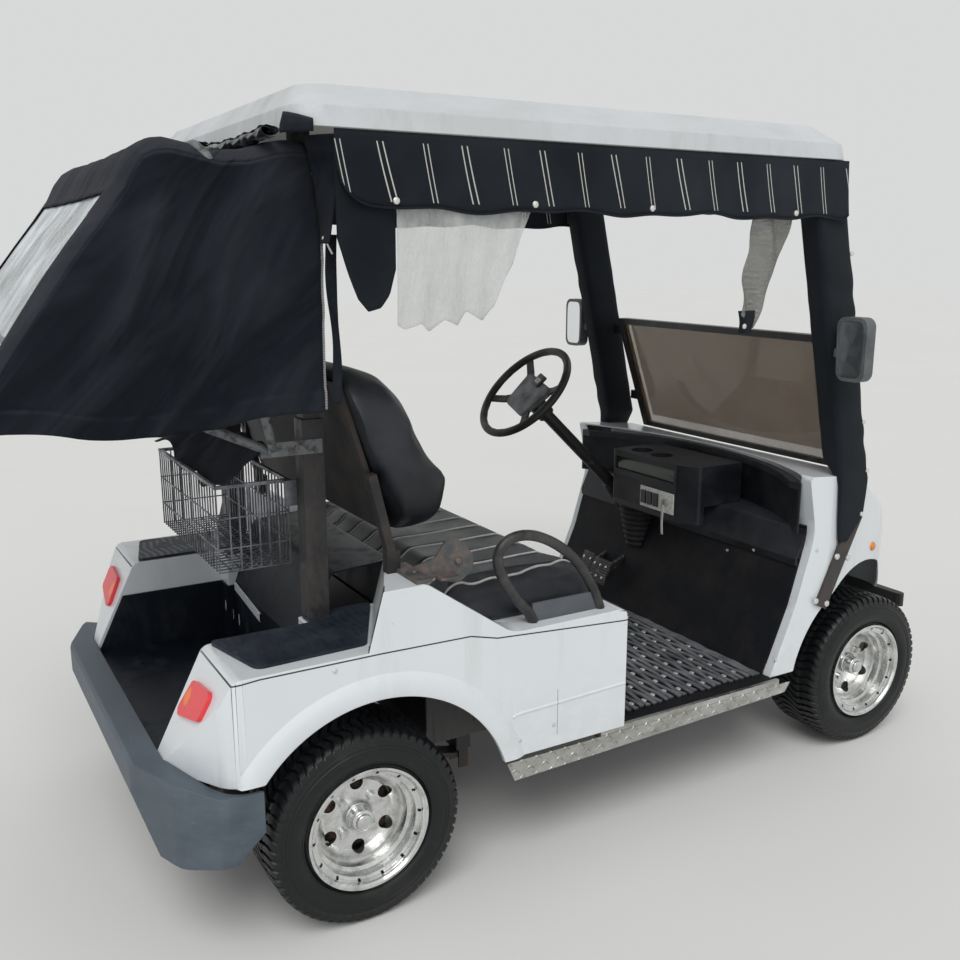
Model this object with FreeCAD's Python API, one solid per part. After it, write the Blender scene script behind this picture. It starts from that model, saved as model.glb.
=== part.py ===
import FreeCAD, Part
import math
import os
from FreeCAD import Vector

# Two-seat electric golf cart with canopy, bag cover and valance.
# All sizes are in millimetres. Forward is +X, left is +Y and up is +Z.
# Every x below is measured forward from the rear axle; the finished pieces
# are shifted so that the origin lies under the middle of the cart.

# Driving dimensions of the whole cart
WHEELBASE = 1664.0
NOSE_X = 1990.0
TAIL_X = -700.0
BODY_HALF_WIDTH = 575.0
FLOOR_Z = 300.0
FLOOR_HALF_WIDTH = 555.0
FIT = 0.3
SKIN = 5.0

# Wheels
TYRE_RADIUS = 230.0
TYRE_WIDTH = 205.0
TYRE_SHOULDER = 8.0
SIDEWALL_RADIUS = 186.0
BEAD_RADIUS = 127.0
RIM_FLANGE_RADIUS = 144.0
RIM_FLANGE_THICKNESS = 7.0
BEAD_HALF_WIDTH = 88.0
REAR_TRACK = 960.0
FRONT_TRACK = 880.0
DISC_OFFSET = 26.0
DISC_THICKNESS = 8.0
DISC_RADIUS = 84.0
WINDOW_COUNT = 6
WINDOW_RADIUS = 16.0
WINDOW_CIRCLE = 78.0
LUG_COUNT = 4
LUG_CIRCLE = 50.8
LUG_RADIUS = 10.0
LUG_HEIGHT = 12.0
CAP_RADIUS = 28.0
CAP_LENGTH = 44.0
HUB_BORE = 12.0
DRUM_RADIUS = 88.0
DRUM_WIDTH = 52.0
SHAFT_RADIUS = 13.0

# Steering
KINGPIN_INSET = 130.0
KINGPIN_Y = FRONT_TRACK / 2 - KINGPIN_INSET
KINGPIN_RADIUS = 11.0
AXLE_EYE_RADIUS = 24.0
AXLE_EYE_HEIGHT = 50.0
EAR_THICKNESS = 12.0
EAR_RADIUS = 20.0
KNUCKLE_GAP = 7.0
KNUCKLE_WEB = 16.0
STEERING_ARM = 120.0
ROD_RADIUS = 8.0
ROD_EYE_RADIUS = 13.0
ROD_EYE_HEIGHT = 18.0
ROD_PIN_RADIUS = 6.0
COLUMN_Y = 280.0
COLUMN_FOOT_X = 1300.0
COLUMN_FOOT_Z = 702.0
COLUMN_RADIUS = 20.0
COLUMN_SLOPE = 43.5
WHEEL_HUB_DISTANCE = 488.0
STEERING_WHEEL_RADIUS = 168.0
STEERING_GRIP_RADIUS = 12.5
STEERING_DISH = 40.0

# Frame
RAIL_Y = 170.0
RAIL_WIDTH = 40.0
RAIL_HEIGHT = 60.0
RAIL_LOW_Z = 225.0
RAIL_HIGH_Z = 330.0
RAIL_REAR_X = -345.0
RAIL_FRONT_X = 1925.0
FRONT_BEAM = 40.0
SPRING_WIDTH = 45.0
SPRING_Y = 320.0
SPRING_EYE_THICKNESS = 12.0
CHEEK_THICKNESS = 5.0
AXLE_TUBE_RADIUS = 30.0
DIFFERENTIAL_RADIUS = 104.0
MOTOR_X = -172.0
MOTOR_RISE = 10.0
MOTOR_RADIUS = 80.0

# Rear body
DECK_Z = 640.0
PAD_THICKNESS = 8.0
HUMP_Z = 771.0
SILL_Z = 616.0
REAR_BOTTOM_Z = 405.0
WELL_HALF_WIDTH = 345.0
WELL_FLOOR_Z = 400.0
WELL_FRONT_X = -20.0
WELL_SHELF_X = -42.0
LINER_TOP_Z = 552.0
INNER_DECK_Y = 285.0
HUMP_FOOT_X = 31.0
HUMP_FOOT_Y = 529.0
HUMP_DIAGONAL = 0.484
HUMP_LEAN = 0.28
SEAT_RECESS_X = 212.0
SEAT_RECESS_HALF = 505.0
HATCH_HALF_WIDTH = 430.0
HATCH_FRONT_X = 676.0
ARCH_X = 30.0
ARCH_Z = 200.0
ARCH_RADIUS = 334.0
PANEL_FRONT_X = 706.0

# Front cowl
COWL_HALF_WIDTH = 545.0
COCKPIT_HALF_WIDTH = 515.0
COCKPIT_REAR_X = 1355.0
COCKPIT_BOW_X = 1522.0
FRONT_ARCH_RADIUS = 332.0
RIM_Z = 868.0
SHIELD_BASE_X = 1585.0
SHIELD_BASE_Z = 850.0
COWL_BOTTOM_Z = 385.0
CUP_RADIUS = 37.0
CUP_DEPTH = 70.0

# Roof and its struts
ROOF_REAR_X = -112.0
ROOF_FRONT_X = 1405.0
ROOF_EDGE_Z = 1704.0
ROOF_TOP_Z = 1790.0
ROOF_HALF_WIDTH = 566.0
REAR_STRUT_X = -8.0
REAR_STRUT_Y = 310.0
REAR_STRUT_WIDTH = 50.0
REAR_STRUT_UPPER = 38.0
STRUT_SPLICE_Z = 1112.0
STRUT_TOP_X = 1343.0
STRUT_TOP_Y = 512.0
KNEE_X = 1546.0
KNEE_Y = 546.0
KNEE_Z = 735.0
FRONT_STRUT_WIDTH = 36.0
FRONT_STRUT_DEPTH = 26.0
LEG_WIDTH = 44.0
LEG_THICKNESS = 10.0
LEG_FOOT_X = 1424.0
LEG_FOOT_Z = 482.0
TUBE_FOOT_Z = 872.0
SLEEVE_INNER_Y = 488.0
SLEEVE_OUTER_Y = 560.5
VALANCE_DROP = 145.0
VALANCE_THICKNESS = 5.0

# Bench
CUSHION_REAR_X = 218.0
CUSHION_FRONT_X = 684.0
CUSHION_HALF_WIDTH = 500.0
HINGE_X = 692.0
HINGE_RADIUS = 6.0
CUSHION_TOP_Z = 716.0
BACK_HALF_WIDTH = 500.0

# Windshield
SHIELD_HALF_WIDTH = 428.0
SHIELD_THICKNESS = 5.0
SHIELD_FOOT_X = 1588.0
SHIELD_FOOT_Z = 862.0
SHIELD_BAR_X = 1456.0
SHIELD_BAR_Z = 1238.0
BAR_DROP = 12.0

# Bag cover
COVER_HALF_WIDTH = 480.0
COVER_BOTTOM_Z = 1150.0
COVER_SKIN = 5.0
WINDOW_SHEET = 2.0
BOW_RADIUS = 10.0
WIRE_COLUMNS = 24
WIRE_ROWS = 6

AXLE_Z = TYRE_RADIUS
FRONT_X = WHEELBASE
MIDDLE_X = (NOSE_X + TAIL_X) / 2
X_AXIS = Vector(1, 0, 0)
Y_AXIS = Vector(0, 1, 0)
Z_AXIS = Vector(0, 0, 1)
ORIGIN = Vector(0, 0, 0)


def place(plane, u, v, level):
    """Point in a plane: xz, xy or yz, with its level along the third axis."""
    if plane == "xz":
        return Vector(u, level, v)
    if plane == "xy":
        return Vector(u, v, level)
    return Vector(level, u, v)


def rounded_wire(rows, closed=True):
    """Wire through rows (point, corner radius) with tangent arcs at the corners."""
    count = len(rows)
    starts, ends, middles = [], [], []
    for i, (point, radius) in enumerate(rows):
        before = rows[(i - 1) % count][0]
        after = rows[(i + 1) % count][0]
        at_end = not closed and i in (0, count - 1)
        if radius <= 0 or at_end:
            starts.append(point)
            ends.append(point)
            middles.append(None)
            continue
        a = (before - point).normalize()
        b = (after - point).normalize()
        half = a.getAngle(b) / 2
        back = radius / math.tan(half)
        bisector = (a + b).normalize()
        centre = point + bisector * (radius / math.sin(half))
        starts.append(point + a * back)
        ends.append(point + b * back)
        middles.append(centre - bisector * radius)
    edges = []
    for i in range(count):
        if middles[i] is not None:
            edges.append(Part.Arc(starts[i], middles[i], ends[i]).toShape())
        if not closed and i == count - 1:
            break
        following = starts[(i + 1) % count]
        if (following - ends[i]).Length > 1e-6:
            edges.append(Part.LineSegment(ends[i], following).toShape())
    return Part.Wire(edges)


def outline(rows, plane, level=0.0):
    """Closed wire from rows (u, v, corner radius) in a plane."""
    return rounded_wire([(place(plane, u, v, level), r) for u, v, r in rows])


def prism(rows, plane, start, end):
    """Solid from rows (u, v, corner radius), extruded from start to end."""
    along = {"xz": Y_AXIS, "xy": Z_AXIS, "yz": X_AXIS}[plane]
    return Part.Face(outline(rows, plane, start)).extrude(along * (end - start))


def inset_prism(rows, plane, start, end, offset):
    """The same solid with its outline moved in by an offset."""
    wire = outline(rows, plane, start).makeOffset2D(-offset)
    along = {"xz": Y_AXIS, "xy": Z_AXIS, "yz": X_AXIS}[plane]
    return Part.Face(wire).extrude(along * (end - start))


def box(x0, x1, y0, y1, z0, z1):
    """Box between two corners."""
    return Part.makeBox(x1 - x0, y1 - y0, z1 - z0, Vector(x0, y0, z0))


def bar(start, end, radius):
    """Round bar between two points."""
    run = end - start
    return Part.makeCylinder(radius, run.Length, start, run)


def flat_bar(start, end, width, thickness, across=Y_AXIS):
    """Rectangular bar between two points, its thickness along the across axis."""
    run = (end - start).normalize()
    side = run.cross(across).normalize()
    corners = []
    for s, t in ((-1, -1), (1, -1), (1, 1), (-1, 1)):
        corners.append(start + side * (s * width / 2) + across * (t * thickness / 2))
    face = Part.Face(Part.makePolygon(corners + corners[:1]))
    return face.extrude(end - start)


def tube(points, radius, bend, closed=False):
    """Round tube along points with one bend radius at the inner corners."""
    path = rounded_wire([(p, bend) for p in points], closed)
    first = path.OrderedEdges[0]
    start = first.valueAt(first.FirstParameter)
    heading = first.tangentAt(first.FirstParameter)
    section = Part.Wire(Part.makeCircle(radius, start, heading))
    return path.makePipeShell([section], True, False)


def turned(rows, centre, outward=1.0):
    """Solid of revolution about the Y axis from rows (along, radius, corner radius)."""
    points = [(Vector(0, outward * s, r), c) for s, r, c in rows]
    face = Part.Face(rounded_wire(points))
    face.translate(centre)
    return face.revolve(centre, Y_AXIS, 360)


def mirrored(shape):
    """The same shape on the other side of the cart."""
    return shape.mirror(ORIGIN, Y_AXIS)


def both(shape):
    """A shape and its mirror image as one compound of separate solids."""
    return Part.makeCompound([shape, mirrored(shape)])


def joined(shapes):
    """One solid from touching shapes."""
    return shapes[0].fuse(shapes[1:]).removeSplitter()


def export(node, shape):
    """Write one piece, shifted so that the cart's middle is over the origin."""
    shape = shape.copy()
    shape.translate(Vector(-MIDDLE_X, 0, 0))
    solids = shape.Solids
    if not solids or not shape.isValid():
        raise ValueError("no valid solid in " + node)
    out = solids[0] if len(solids) == 1 else Part.makeCompound(solids)
    out.exportStep("parts/" + node + ".step")
    low = shape.optimalBoundingBox(False)
    print("%-22s %2d solids %9.0f cm3  x %6.0f %6.0f  y %5.0f %5.0f  z %5.0f %5.0f" % (
        node, len(solids), shape.Volume / 1000, low.XMin, low.XMax,
        low.YMin, low.YMax, low.ZMin, low.ZMax))


# Wheels

def tyre(centre, outward):
    """Low-profile turf tyre: crowned tread, round shoulders, bulging sidewalls."""
    half = TYRE_WIDTH / 2
    bead = BEAD_RADIUS + FIT
    inner = BEAD_HALF_WIDTH - FIT
    rows = [
        # along, radius, corner
        (-inner, bead, 0),
        (inner, bead, 0),
        (inner, RIM_FLANGE_RADIUS + 4, 4),
        (half, SIDEWALL_RADIUS - 14, 30),
        (half, SIDEWALL_RADIUS + 14, 24),
        (half - TYRE_SHOULDER, TYRE_RADIUS - TYRE_SHOULDER, 6),
        (half - 3 * TYRE_SHOULDER, TYRE_RADIUS, 30),
        (-half + 3 * TYRE_SHOULDER, TYRE_RADIUS, 30),
        (-half + TYRE_SHOULDER, TYRE_RADIUS - TYRE_SHOULDER, 6),
        (-half, SIDEWALL_RADIUS + 14, 24),
        (-half, SIDEWALL_RADIUS - 14, 30),
        (-inner, RIM_FLANGE_RADIUS + 4, 4),
    ]
    return turned(rows, centre, outward)


def rim(centre, outward):
    """Deep-dish polished rim with round windows, lug nuts and a centre cap."""
    flange = BEAD_HALF_WIDTH + RIM_FLANGE_THICKNESS
    disc_back = DISC_OFFSET - DISC_THICKNESS
    rows = [
        # along, radius, corner
        (flange + 5, RIM_FLANGE_RADIUS, 0),
        (BEAD_HALF_WIDTH, RIM_FLANGE_RADIUS, 0),
        (BEAD_HALF_WIDTH, BEAD_RADIUS, 0),
        (62, BEAD_RADIUS, 0),
        (52, 112, 0),
        (-52, 112, 0),
        (-62, BEAD_RADIUS, 0),
        (-BEAD_HALF_WIDTH, BEAD_RADIUS, 0),
        (-BEAD_HALF_WIDTH, RIM_FLANGE_RADIUS, 0),
        (-flange, RIM_FLANGE_RADIUS, 0),
        (-flange, 121, 0),
        (-60, 121, 0),
        (-50, 106, 0),
        (disc_back, 106, 0),
        (disc_back, HUB_BORE, 0),
        (DISC_OFFSET, HUB_BORE, 0),
        (DISC_OFFSET, DISC_RADIUS, 0),
        (40, 98, 0),
        (42, 107, 0),
        (60, 109, 0),
        (63, 118, 0),
        (83, 120, 0),
        (87, 132, 0),
        (flange, 134, 0),
        (flange + 5, 138, 0),
    ]
    shape = turned(rows, centre, outward)
    axis = Y_AXIS * outward
    for i in range(WINDOW_COUNT):
        angle = 2 * math.pi * (i + 0.5) / WINDOW_COUNT
        spot = centre + Vector(math.cos(angle), 0, math.sin(angle)) * WINDOW_CIRCLE
        cutter = Part.makeCylinder(WINDOW_RADIUS, 40, spot + axis * (disc_back - 2), axis)
        shape = shape.cut(cutter)
    nuts = []
    for i in range(LUG_COUNT):
        angle = 2 * math.pi * (i + 0.5) / LUG_COUNT
        spot = centre + Vector(math.cos(angle), 0, math.sin(angle)) * LUG_CIRCLE
        foot = spot + axis * (DISC_OFFSET - 1)
        nuts.append(Part.makeCylinder(LUG_RADIUS, LUG_HEIGHT + 1, foot, axis))
    cap_rows = [
        # along, radius, corner
        (DISC_OFFSET - 2, 0, 0),
        (DISC_OFFSET - 2, CAP_RADIUS + 3, 0),
        (DISC_OFFSET + 6, CAP_RADIUS + 3, 2),
        (DISC_OFFSET + 8, CAP_RADIUS, 0),
        (DISC_OFFSET + CAP_LENGTH - 10, CAP_RADIUS - 2, 3),
        (DISC_OFFSET + CAP_LENGTH - 8, CAP_RADIUS - 9, 2),
        (DISC_OFFSET + CAP_LENGTH, CAP_RADIUS - 10, 3),
        (DISC_OFFSET + CAP_LENGTH, 0, 0),
    ]
    return joined([shape, turned(cap_rows, centre, outward)] + nuts)


def drum(centre, outward):
    """Brake drum behind the disc of a rear wheel, bored for the axle shaft."""
    face = DISC_OFFSET - DISC_THICKNESS - FIT
    bore = SHAFT_RADIUS + FIT
    rows = [
        # along, radius, corner
        (face, 0, 0),
        (face, DRUM_RADIUS - 14, 4),
        (face - 10, DRUM_RADIUS, 4),
        (face - DRUM_WIDTH, DRUM_RADIUS, 0),
        (face - DRUM_WIDTH, bore, 0),
        (face - 8, bore, 0),
        (face - 8, 0, 0),
    ]
    return turned(rows, centre, outward)


def front_hub(centre, outward):
    """Wheel bearing hub behind the disc of a front wheel, bored for the spindle."""
    face = DISC_OFFSET - DISC_THICKNESS - FIT
    bore = SHAFT_RADIUS + FIT
    rows = [
        # along, radius, corner
        (face, 0, 0),
        (face, 62, 3),
        (face - 12, 62, 3),
        (face - 14, 34, 4),
        (face - 70, 30, 3),
        (face - 70, bore, 0),
        (face - 8, bore, 0),
        (face - 8, 0, 0),
    ]
    return turned(rows, centre, outward)


def wheel_centre(axle_x, track, side):
    """Middle of a wheel; side is 1 on the left and -1 on the right."""
    return Vector(axle_x, side * track / 2, AXLE_Z)


# Chassis

def rail_rows():
    """Side outline of a frame rail, raised over both axles."""
    rise = RAIL_HIGH_Z
    low = RAIL_LOW_Z
    h = RAIL_HEIGHT
    return [
        # x, z, corner
        (RAIL_REAR_X, rise, 4),
        (110, rise, 30),
        (205, low, 30),
        (1262, low, 30),
        (1362, rise, 30),
        (RAIL_FRONT_X, rise, 4),
        (RAIL_FRONT_X, rise + h, 4),
        (1377, rise + h, 30),
        (1277, low + h, 30),
        (205, low + h, 30),
        (125, rise + h, 30),
        (RAIL_REAR_X, rise + h, 4),
    ]


def frame_rails():
    """Two rails tied by cross members, with hanger cheeks for the rear springs."""
    half = RAIL_WIDTH / 2
    rails = [prism(rail_rows(), "xz", side * RAIL_Y - half, side * RAIL_Y + half)
             for side in (-1, 1)]
    cheek = SPRING_WIDTH / 2 + FIT
    hanger_reach = SPRING_Y + cheek + CHEEK_THICKNESS
    rows = [
        # x from, x to, z from, half length
        (RAIL_REAR_X, RAIL_REAR_X + 40, RAIL_HIGH_Z, hanger_reach),
        (345, 385, RAIL_LOW_Z, hanger_reach),
        (700, 740, RAIL_LOW_Z, 470),
        (1150, 1190, RAIL_LOW_Z, 470),
        (RAIL_FRONT_X - 40, RAIL_FRONT_X, RAIL_HIGH_Z, 200),
    ]
    cross = [box(x0, x1, -reach, reach, z0, z0 + 40) for x0, x1, z0, reach in rows]
    hangers = []
    hanger_rows = [
        # x from, x to, z from, z to
        (-338, -312, 285, RAIL_HIGH_Z + 20),
        (352, 378, 175, RAIL_LOW_Z + 20),
    ]
    for side in (-1, 1):
        for inner in (-cheek - CHEEK_THICKNESS, cheek):
            y = side * SPRING_Y + inner
            for x0, x1, z0, z1 in hanger_rows:
                hangers.append(box(x0, x1, y, y + CHEEK_THICKNESS, z0, z1))
    return joined(rails + cross + hangers)


def leaf_spring(x0, x1, y, ends_z, seat_x, seat_z):
    """Curved leaf pack from eye to eye, thicker where the axle sits."""
    thick = SPRING_EYE_THICKNESS
    y0 = y - SPRING_WIDTH / 2
    corners = [Vector(x0, y0, ends_z[0]), Vector(x1, y0, ends_z[1])]
    low = Part.Arc(corners[0], Vector(seat_x, y0, seat_z), corners[1])
    high = Part.Arc(corners[0] + Z_AXIS * thick, Vector(seat_x, y0, seat_z + 1.5 * thick),
                    corners[1] + Z_AXIS * thick)
    ends = [Part.LineSegment(corner, corner + Z_AXIS * thick) for corner in corners]
    wire = Part.Wire(Part.__sortEdges__([c.toShape() for c in (low, high, *ends)]))
    return Part.Face(wire).extrude(Y_AXIS * SPRING_WIDTH)


def leaf_springs():
    """Rear springs on the axle tube and front springs between the beam and the rails."""
    rear_seat = AXLE_Z + AXLE_TUBE_RADIUS + 2 * FIT
    rear = leaf_spring(-325, 365, SPRING_Y, (292, 200), 0, rear_seat)
    top = RAIL_HIGH_Z - SPRING_EYE_THICKNESS - FIT
    front = leaf_spring(1400, 1905, RAIL_Y, (top, top), FRONT_X, AXLE_Z + FRONT_BEAM / 2 + FIT)
    return Part.makeCompound([rear, mirrored(rear), front, mirrored(front)])


def rear_axle():
    """Axle tube with the differential case, brake backing plates and shaft ends."""
    face = REAR_TRACK / 2 + DISC_OFFSET - DISC_THICKNESS - FIT
    reach = face - DRUM_WIDTH - 6
    shaft_end = face - 8 - FIT
    plate = DRUM_RADIUS - 4
    tube_radius = AXLE_TUBE_RADIUS
    half_rows = [
        # along, radius, corner
        (30, DIFFERENTIAL_RADIUS, 18),
        (70, 62, 14),
        (110, tube_radius, 10),
        (reach - 7, tube_radius, 4),
        (reach - 5, plate, 0),
        (reach, plate, 0),
        (reach, SHAFT_RADIUS, 0),
        (shaft_end, SHAFT_RADIUS, 0),
        (shaft_end, 0, 0),
    ]
    other_half = [(-along, radius, corner) for along, radius, corner in reversed(half_rows)]
    return turned(other_half + half_rows, Vector(0, 0, AXLE_Z))


def motor():
    """Drive motor beside the differential, parallel to the axle tube."""
    nose = math.hypot(MOTOR_X, MOTOR_RISE) - DIFFERENTIAL_RADIUS - FIT
    rows = [
        # along, radius, corner
        (-270, 0, 0),
        (-270, MOTOR_RADIUS - 14, 6),
        (-254, MOTOR_RADIUS, 6),
        (-64, MOTOR_RADIUS, 6),
        (-54, nose, 4),
        (10, nose, 4),
        (10, 0, 0),
    ]
    return turned(rows, Vector(MOTOR_X, 0, AXLE_Z + MOTOR_RISE))


def front_axle():
    """Beam with a bored eye for each kingpin."""
    half = FRONT_BEAM / 2
    beam = box(FRONT_X - half, FRONT_X + half, -KINGPIN_Y, KINGPIN_Y, AXLE_Z - half, AXLE_Z + half)
    bottom = AXLE_Z - AXLE_EYE_HEIGHT / 2
    shapes = [beam]
    bores = []
    for side in (-1, 1):
        foot = Vector(FRONT_X, side * KINGPIN_Y, bottom)
        shapes.append(Part.makeCylinder(AXLE_EYE_RADIUS, AXLE_EYE_HEIGHT, foot))
        bores.append(Part.makeCylinder(KINGPIN_RADIUS + FIT, AXLE_EYE_HEIGHT, foot))
    shape = joined(shapes)
    for bore in bores:
        shape = shape.cut(bore)
    return shape


def knuckle(side):
    """Yoke on the kingpin with the wheel spindle and the steering arm."""
    half_eye = AXLE_EYE_HEIGHT / 2 + FIT
    pin = Vector(FRONT_X, side * KINGPIN_Y, AXLE_Z)
    web_y = KINGPIN_Y + AXLE_EYE_RADIUS + KNUCKLE_GAP
    shapes = [Part.makeCylinder(KINGPIN_RADIUS, 2 * (half_eye + EAR_THICKNESS) + 10,
                                pin - Z_AXIS * (half_eye + EAR_THICKNESS + 5))]
    for z in (-half_eye - EAR_THICKNESS, half_eye):
        shapes.append(Part.makeCylinder(EAR_RADIUS, EAR_THICKNESS, pin + Z_AXIS * z))
        y0, y1 = sorted((side * KINGPIN_Y, side * (web_y + KNUCKLE_WEB)))
        shapes.append(box(FRONT_X - EAR_RADIUS, FRONT_X + EAR_RADIUS, y0, y1,
                          AXLE_Z + z, AXLE_Z + z + EAR_THICKNESS))
    y0, y1 = sorted((side * web_y, side * (web_y + KNUCKLE_WEB)))
    shapes.append(box(FRONT_X - EAR_RADIUS, FRONT_X + EAR_RADIUS, y0, y1,
                      AXLE_Z - half_eye - EAR_THICKNESS, AXLE_Z + half_eye + EAR_THICKNESS))
    hub_face = FRONT_TRACK / 2 + DISC_OFFSET - DISC_THICKNESS - FIT - 8 - FIT
    spindle_start = Vector(FRONT_X, side * web_y, AXLE_Z)
    shapes.append(bar(spindle_start, Vector(FRONT_X, side * hub_face, AXLE_Z), SHAFT_RADIUS))
    arm_z = AXLE_Z - half_eye - EAR_THICKNESS
    arm_rows = [
        # x, y, corner
        (FRONT_X, side * (KINGPIN_Y - 12), 0),
        (FRONT_X, side * (KINGPIN_Y + 12), 0),
        (FRONT_X - STEERING_ARM, side * (KINGPIN_Y + 10), 0),
        (FRONT_X - STEERING_ARM - 12, side * (KINGPIN_Y + 6), 0),
        (FRONT_X - STEERING_ARM - 12, side * (KINGPIN_Y - 6), 0),
        (FRONT_X - STEERING_ARM, side * (KINGPIN_Y - 10), 0),
    ]
    shapes.append(prism(arm_rows, "xy", arm_z, arm_z + EAR_THICKNESS))
    ball = Vector(FRONT_X - STEERING_ARM, side * KINGPIN_Y, arm_z)
    shapes.append(bar(ball, ball - Z_AXIS * (ROD_EYE_HEIGHT + 4), ROD_PIN_RADIUS))
    return joined(shapes)


def tie_rod():
    """Rod between the two steering arms, with an eye on each ball pin."""
    arm_z = AXLE_Z - AXLE_EYE_HEIGHT / 2 - FIT - EAR_THICKNESS
    top = arm_z - 2 * FIT
    x = FRONT_X - STEERING_ARM
    middle = top - ROD_EYE_HEIGHT / 2
    shapes = [bar(Vector(x, -KINGPIN_Y, middle), Vector(x, KINGPIN_Y, middle), ROD_RADIUS)]
    for side in (-1, 1):
        foot = Vector(x, side * KINGPIN_Y, top - ROD_EYE_HEIGHT)
        shapes.append(Part.makeCylinder(ROD_EYE_RADIUS, ROD_EYE_HEIGHT, foot))
    shape = joined(shapes)
    for side in (-1, 1):
        foot = Vector(x, side * KINGPIN_Y, top - ROD_EYE_HEIGHT)
        shape = shape.cut(Part.makeCylinder(ROD_PIN_RADIUS + FIT, ROD_EYE_HEIGHT, foot))
    return shape


def batteries():
    """Six batteries in a tray, as one plain block."""
    return box(236, 636, -390, 390, RAIL_LOW_Z + RAIL_HEIGHT + FIT, 560)


# Body

def rear_side_rows():
    """Side outline of the rear body, with the hump in front of the deck."""
    return [
        # x, z, corner
        (-402, REAR_BOTTOM_Z, 0),
        (-284, DECK_Z, 26),
        (-60, DECK_Z, 0),
        (-60, HUMP_Z, 0),
        (150, HUMP_Z, 40),
        (372, SILL_Z, 90),
        (PANEL_FRONT_X, SILL_Z, 22),
        (PANEL_FRONT_X, FLOOR_Z, 0),
        (300, FLOOR_Z, 0),
        (300, REAR_BOTTOM_Z, 0),
    ]


def rear_plan_rows(half_width):
    """Plan outline of the rear body, with rounded rear corners."""
    return [
        # x, y, corner
        (-420, -360, 60),
        (-300, -half_width, 60),
        (PANEL_FRONT_X, -half_width, 0),
        (PANEL_FRONT_X, half_width, 0),
        (-300, half_width, 60),
        (-420, 360, 60),
    ]


def behind_hump(inset):
    """Space above the deck behind the hump's diagonal, leaning rear face."""
    def plan(z):
        lean = (z - DECK_Z) * HUMP_LEAN
        foot_x = HUMP_FOOT_X + lean + inset
        outer_x = foot_x - (600 - HUMP_FOOT_Y) * HUMP_DIAGONAL
        inner_x = foot_x + HUMP_FOOT_Y * HUMP_DIAGONAL
        return Part.makePolygon([Vector(-80, -600, z), Vector(outer_x, -600, z), Vector(inner_x, 0, z),
                                 Vector(outer_x, 600, z), Vector(-80, 600, z), Vector(-80, -600, z)])
    return Part.makeLoft([plan(DECK_Z - inset), plan(DECK_Z + 300)], True, True)


def rear_space(inset):
    """Rear body's block of space: the whole block, or its hollow inset by the skin."""
    wide = BODY_HALF_WIDTH - inset
    rows = rear_side_rows()
    side = prism(rows, "xz", -wide, wide) if inset == 0 else inset_prism(rows, "xz", -wide, wide, inset)
    block = side.common(prism(rear_plan_rows(wide), "xy", 0, 1000))
    recess = box(SEAT_RECESS_X - inset, 900, -SEAT_RECESS_HALF - inset, SEAT_RECESS_HALF + inset,
                 SILL_Z - inset, 900)
    middle = box(-100, SEAT_RECESS_X, -INNER_DECK_Y - inset, INNER_DECK_Y + inset,
                 LINER_TOP_Z - SKIN, 900)
    well = box(-500, WELL_SHELF_X + inset, -WELL_HALF_WIDTH - inset, WELL_HALF_WIDTH + inset, 200, 900)
    front_well = box(WELL_SHELF_X, WELL_FRONT_X + inset, -INNER_DECK_Y - inset, INNER_DECK_Y + inset,
                     200, 900)
    for hole in (behind_hump(inset), recess, middle, well, front_well):
        block = block.cut(hole)
    return block


def rear_body():
    """White rear body: side panels, deck boxes, humps and the flange under the seat."""
    wide = BODY_HALF_WIDTH - SKIN
    shell = rear_space(0).cut(rear_space(SKIN))
    below = [
        # x, z, corner
        (-500, 100, 0),
        (-500, REAR_BOTTOM_Z, 0),
        (-402, REAR_BOTTOM_Z, 0),
        (-390, REAR_BOTTOM_Z + 24, 0),
        (PANEL_FRONT_X, REAR_BOTTOM_Z + 24, 0),
        (PANEL_FRONT_X, 100, 0),
    ]
    low = inset_prism(below, "xz", -wide, wide, SKIN)
    low = low.common(prism(rear_plan_rows(wide), "xy", 0, 1000))
    inner_wall = box(-500, 120, -WELL_HALF_WIDTH - SKIN, WELL_HALF_WIDTH + SKIN, 0, 900)
    shell = shell.cut(low.cut(inner_wall))
    for side in (-1, 1):
        start = side * (WELL_HALF_WIDTH + SKIN)
        arch = Part.makeCylinder(ARCH_RADIUS, BODY_HALF_WIDTH, Vector(ARCH_X, start, ARCH_Z),
                                 Y_AXIS * side)
        shell = shell.cut(arch)
    hatch = box(SEAT_RECESS_X, HATCH_FRONT_X, -HATCH_HALF_WIDTH, HATCH_HALF_WIDTH, 300, 900)
    front = box(PANEL_FRONT_X - 2 * SKIN, PANEL_FRONT_X + 1, -COCKPIT_HALF_WIDTH,
                COCKPIT_HALF_WIDTH, FLOOR_Z - 1, SILL_Z - SKIN)
    inside = box(0, SEAT_RECESS_X - SKIN, -WELL_HALF_WIDTH - SKIN, WELL_HALF_WIDTH + SKIN, 300,
                 LINER_TOP_Z + 10)
    for hole in (hatch, front, inside):
        shell = shell.cut(hole)
    return shell.removeSplitter()


def rear_slope_x(z):
    """X of the sloping rear face at a height."""
    return -402 + (z - REAR_BOTTOM_Z) * 118 / (DECK_Z - REAR_BOTTOM_Z)


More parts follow.
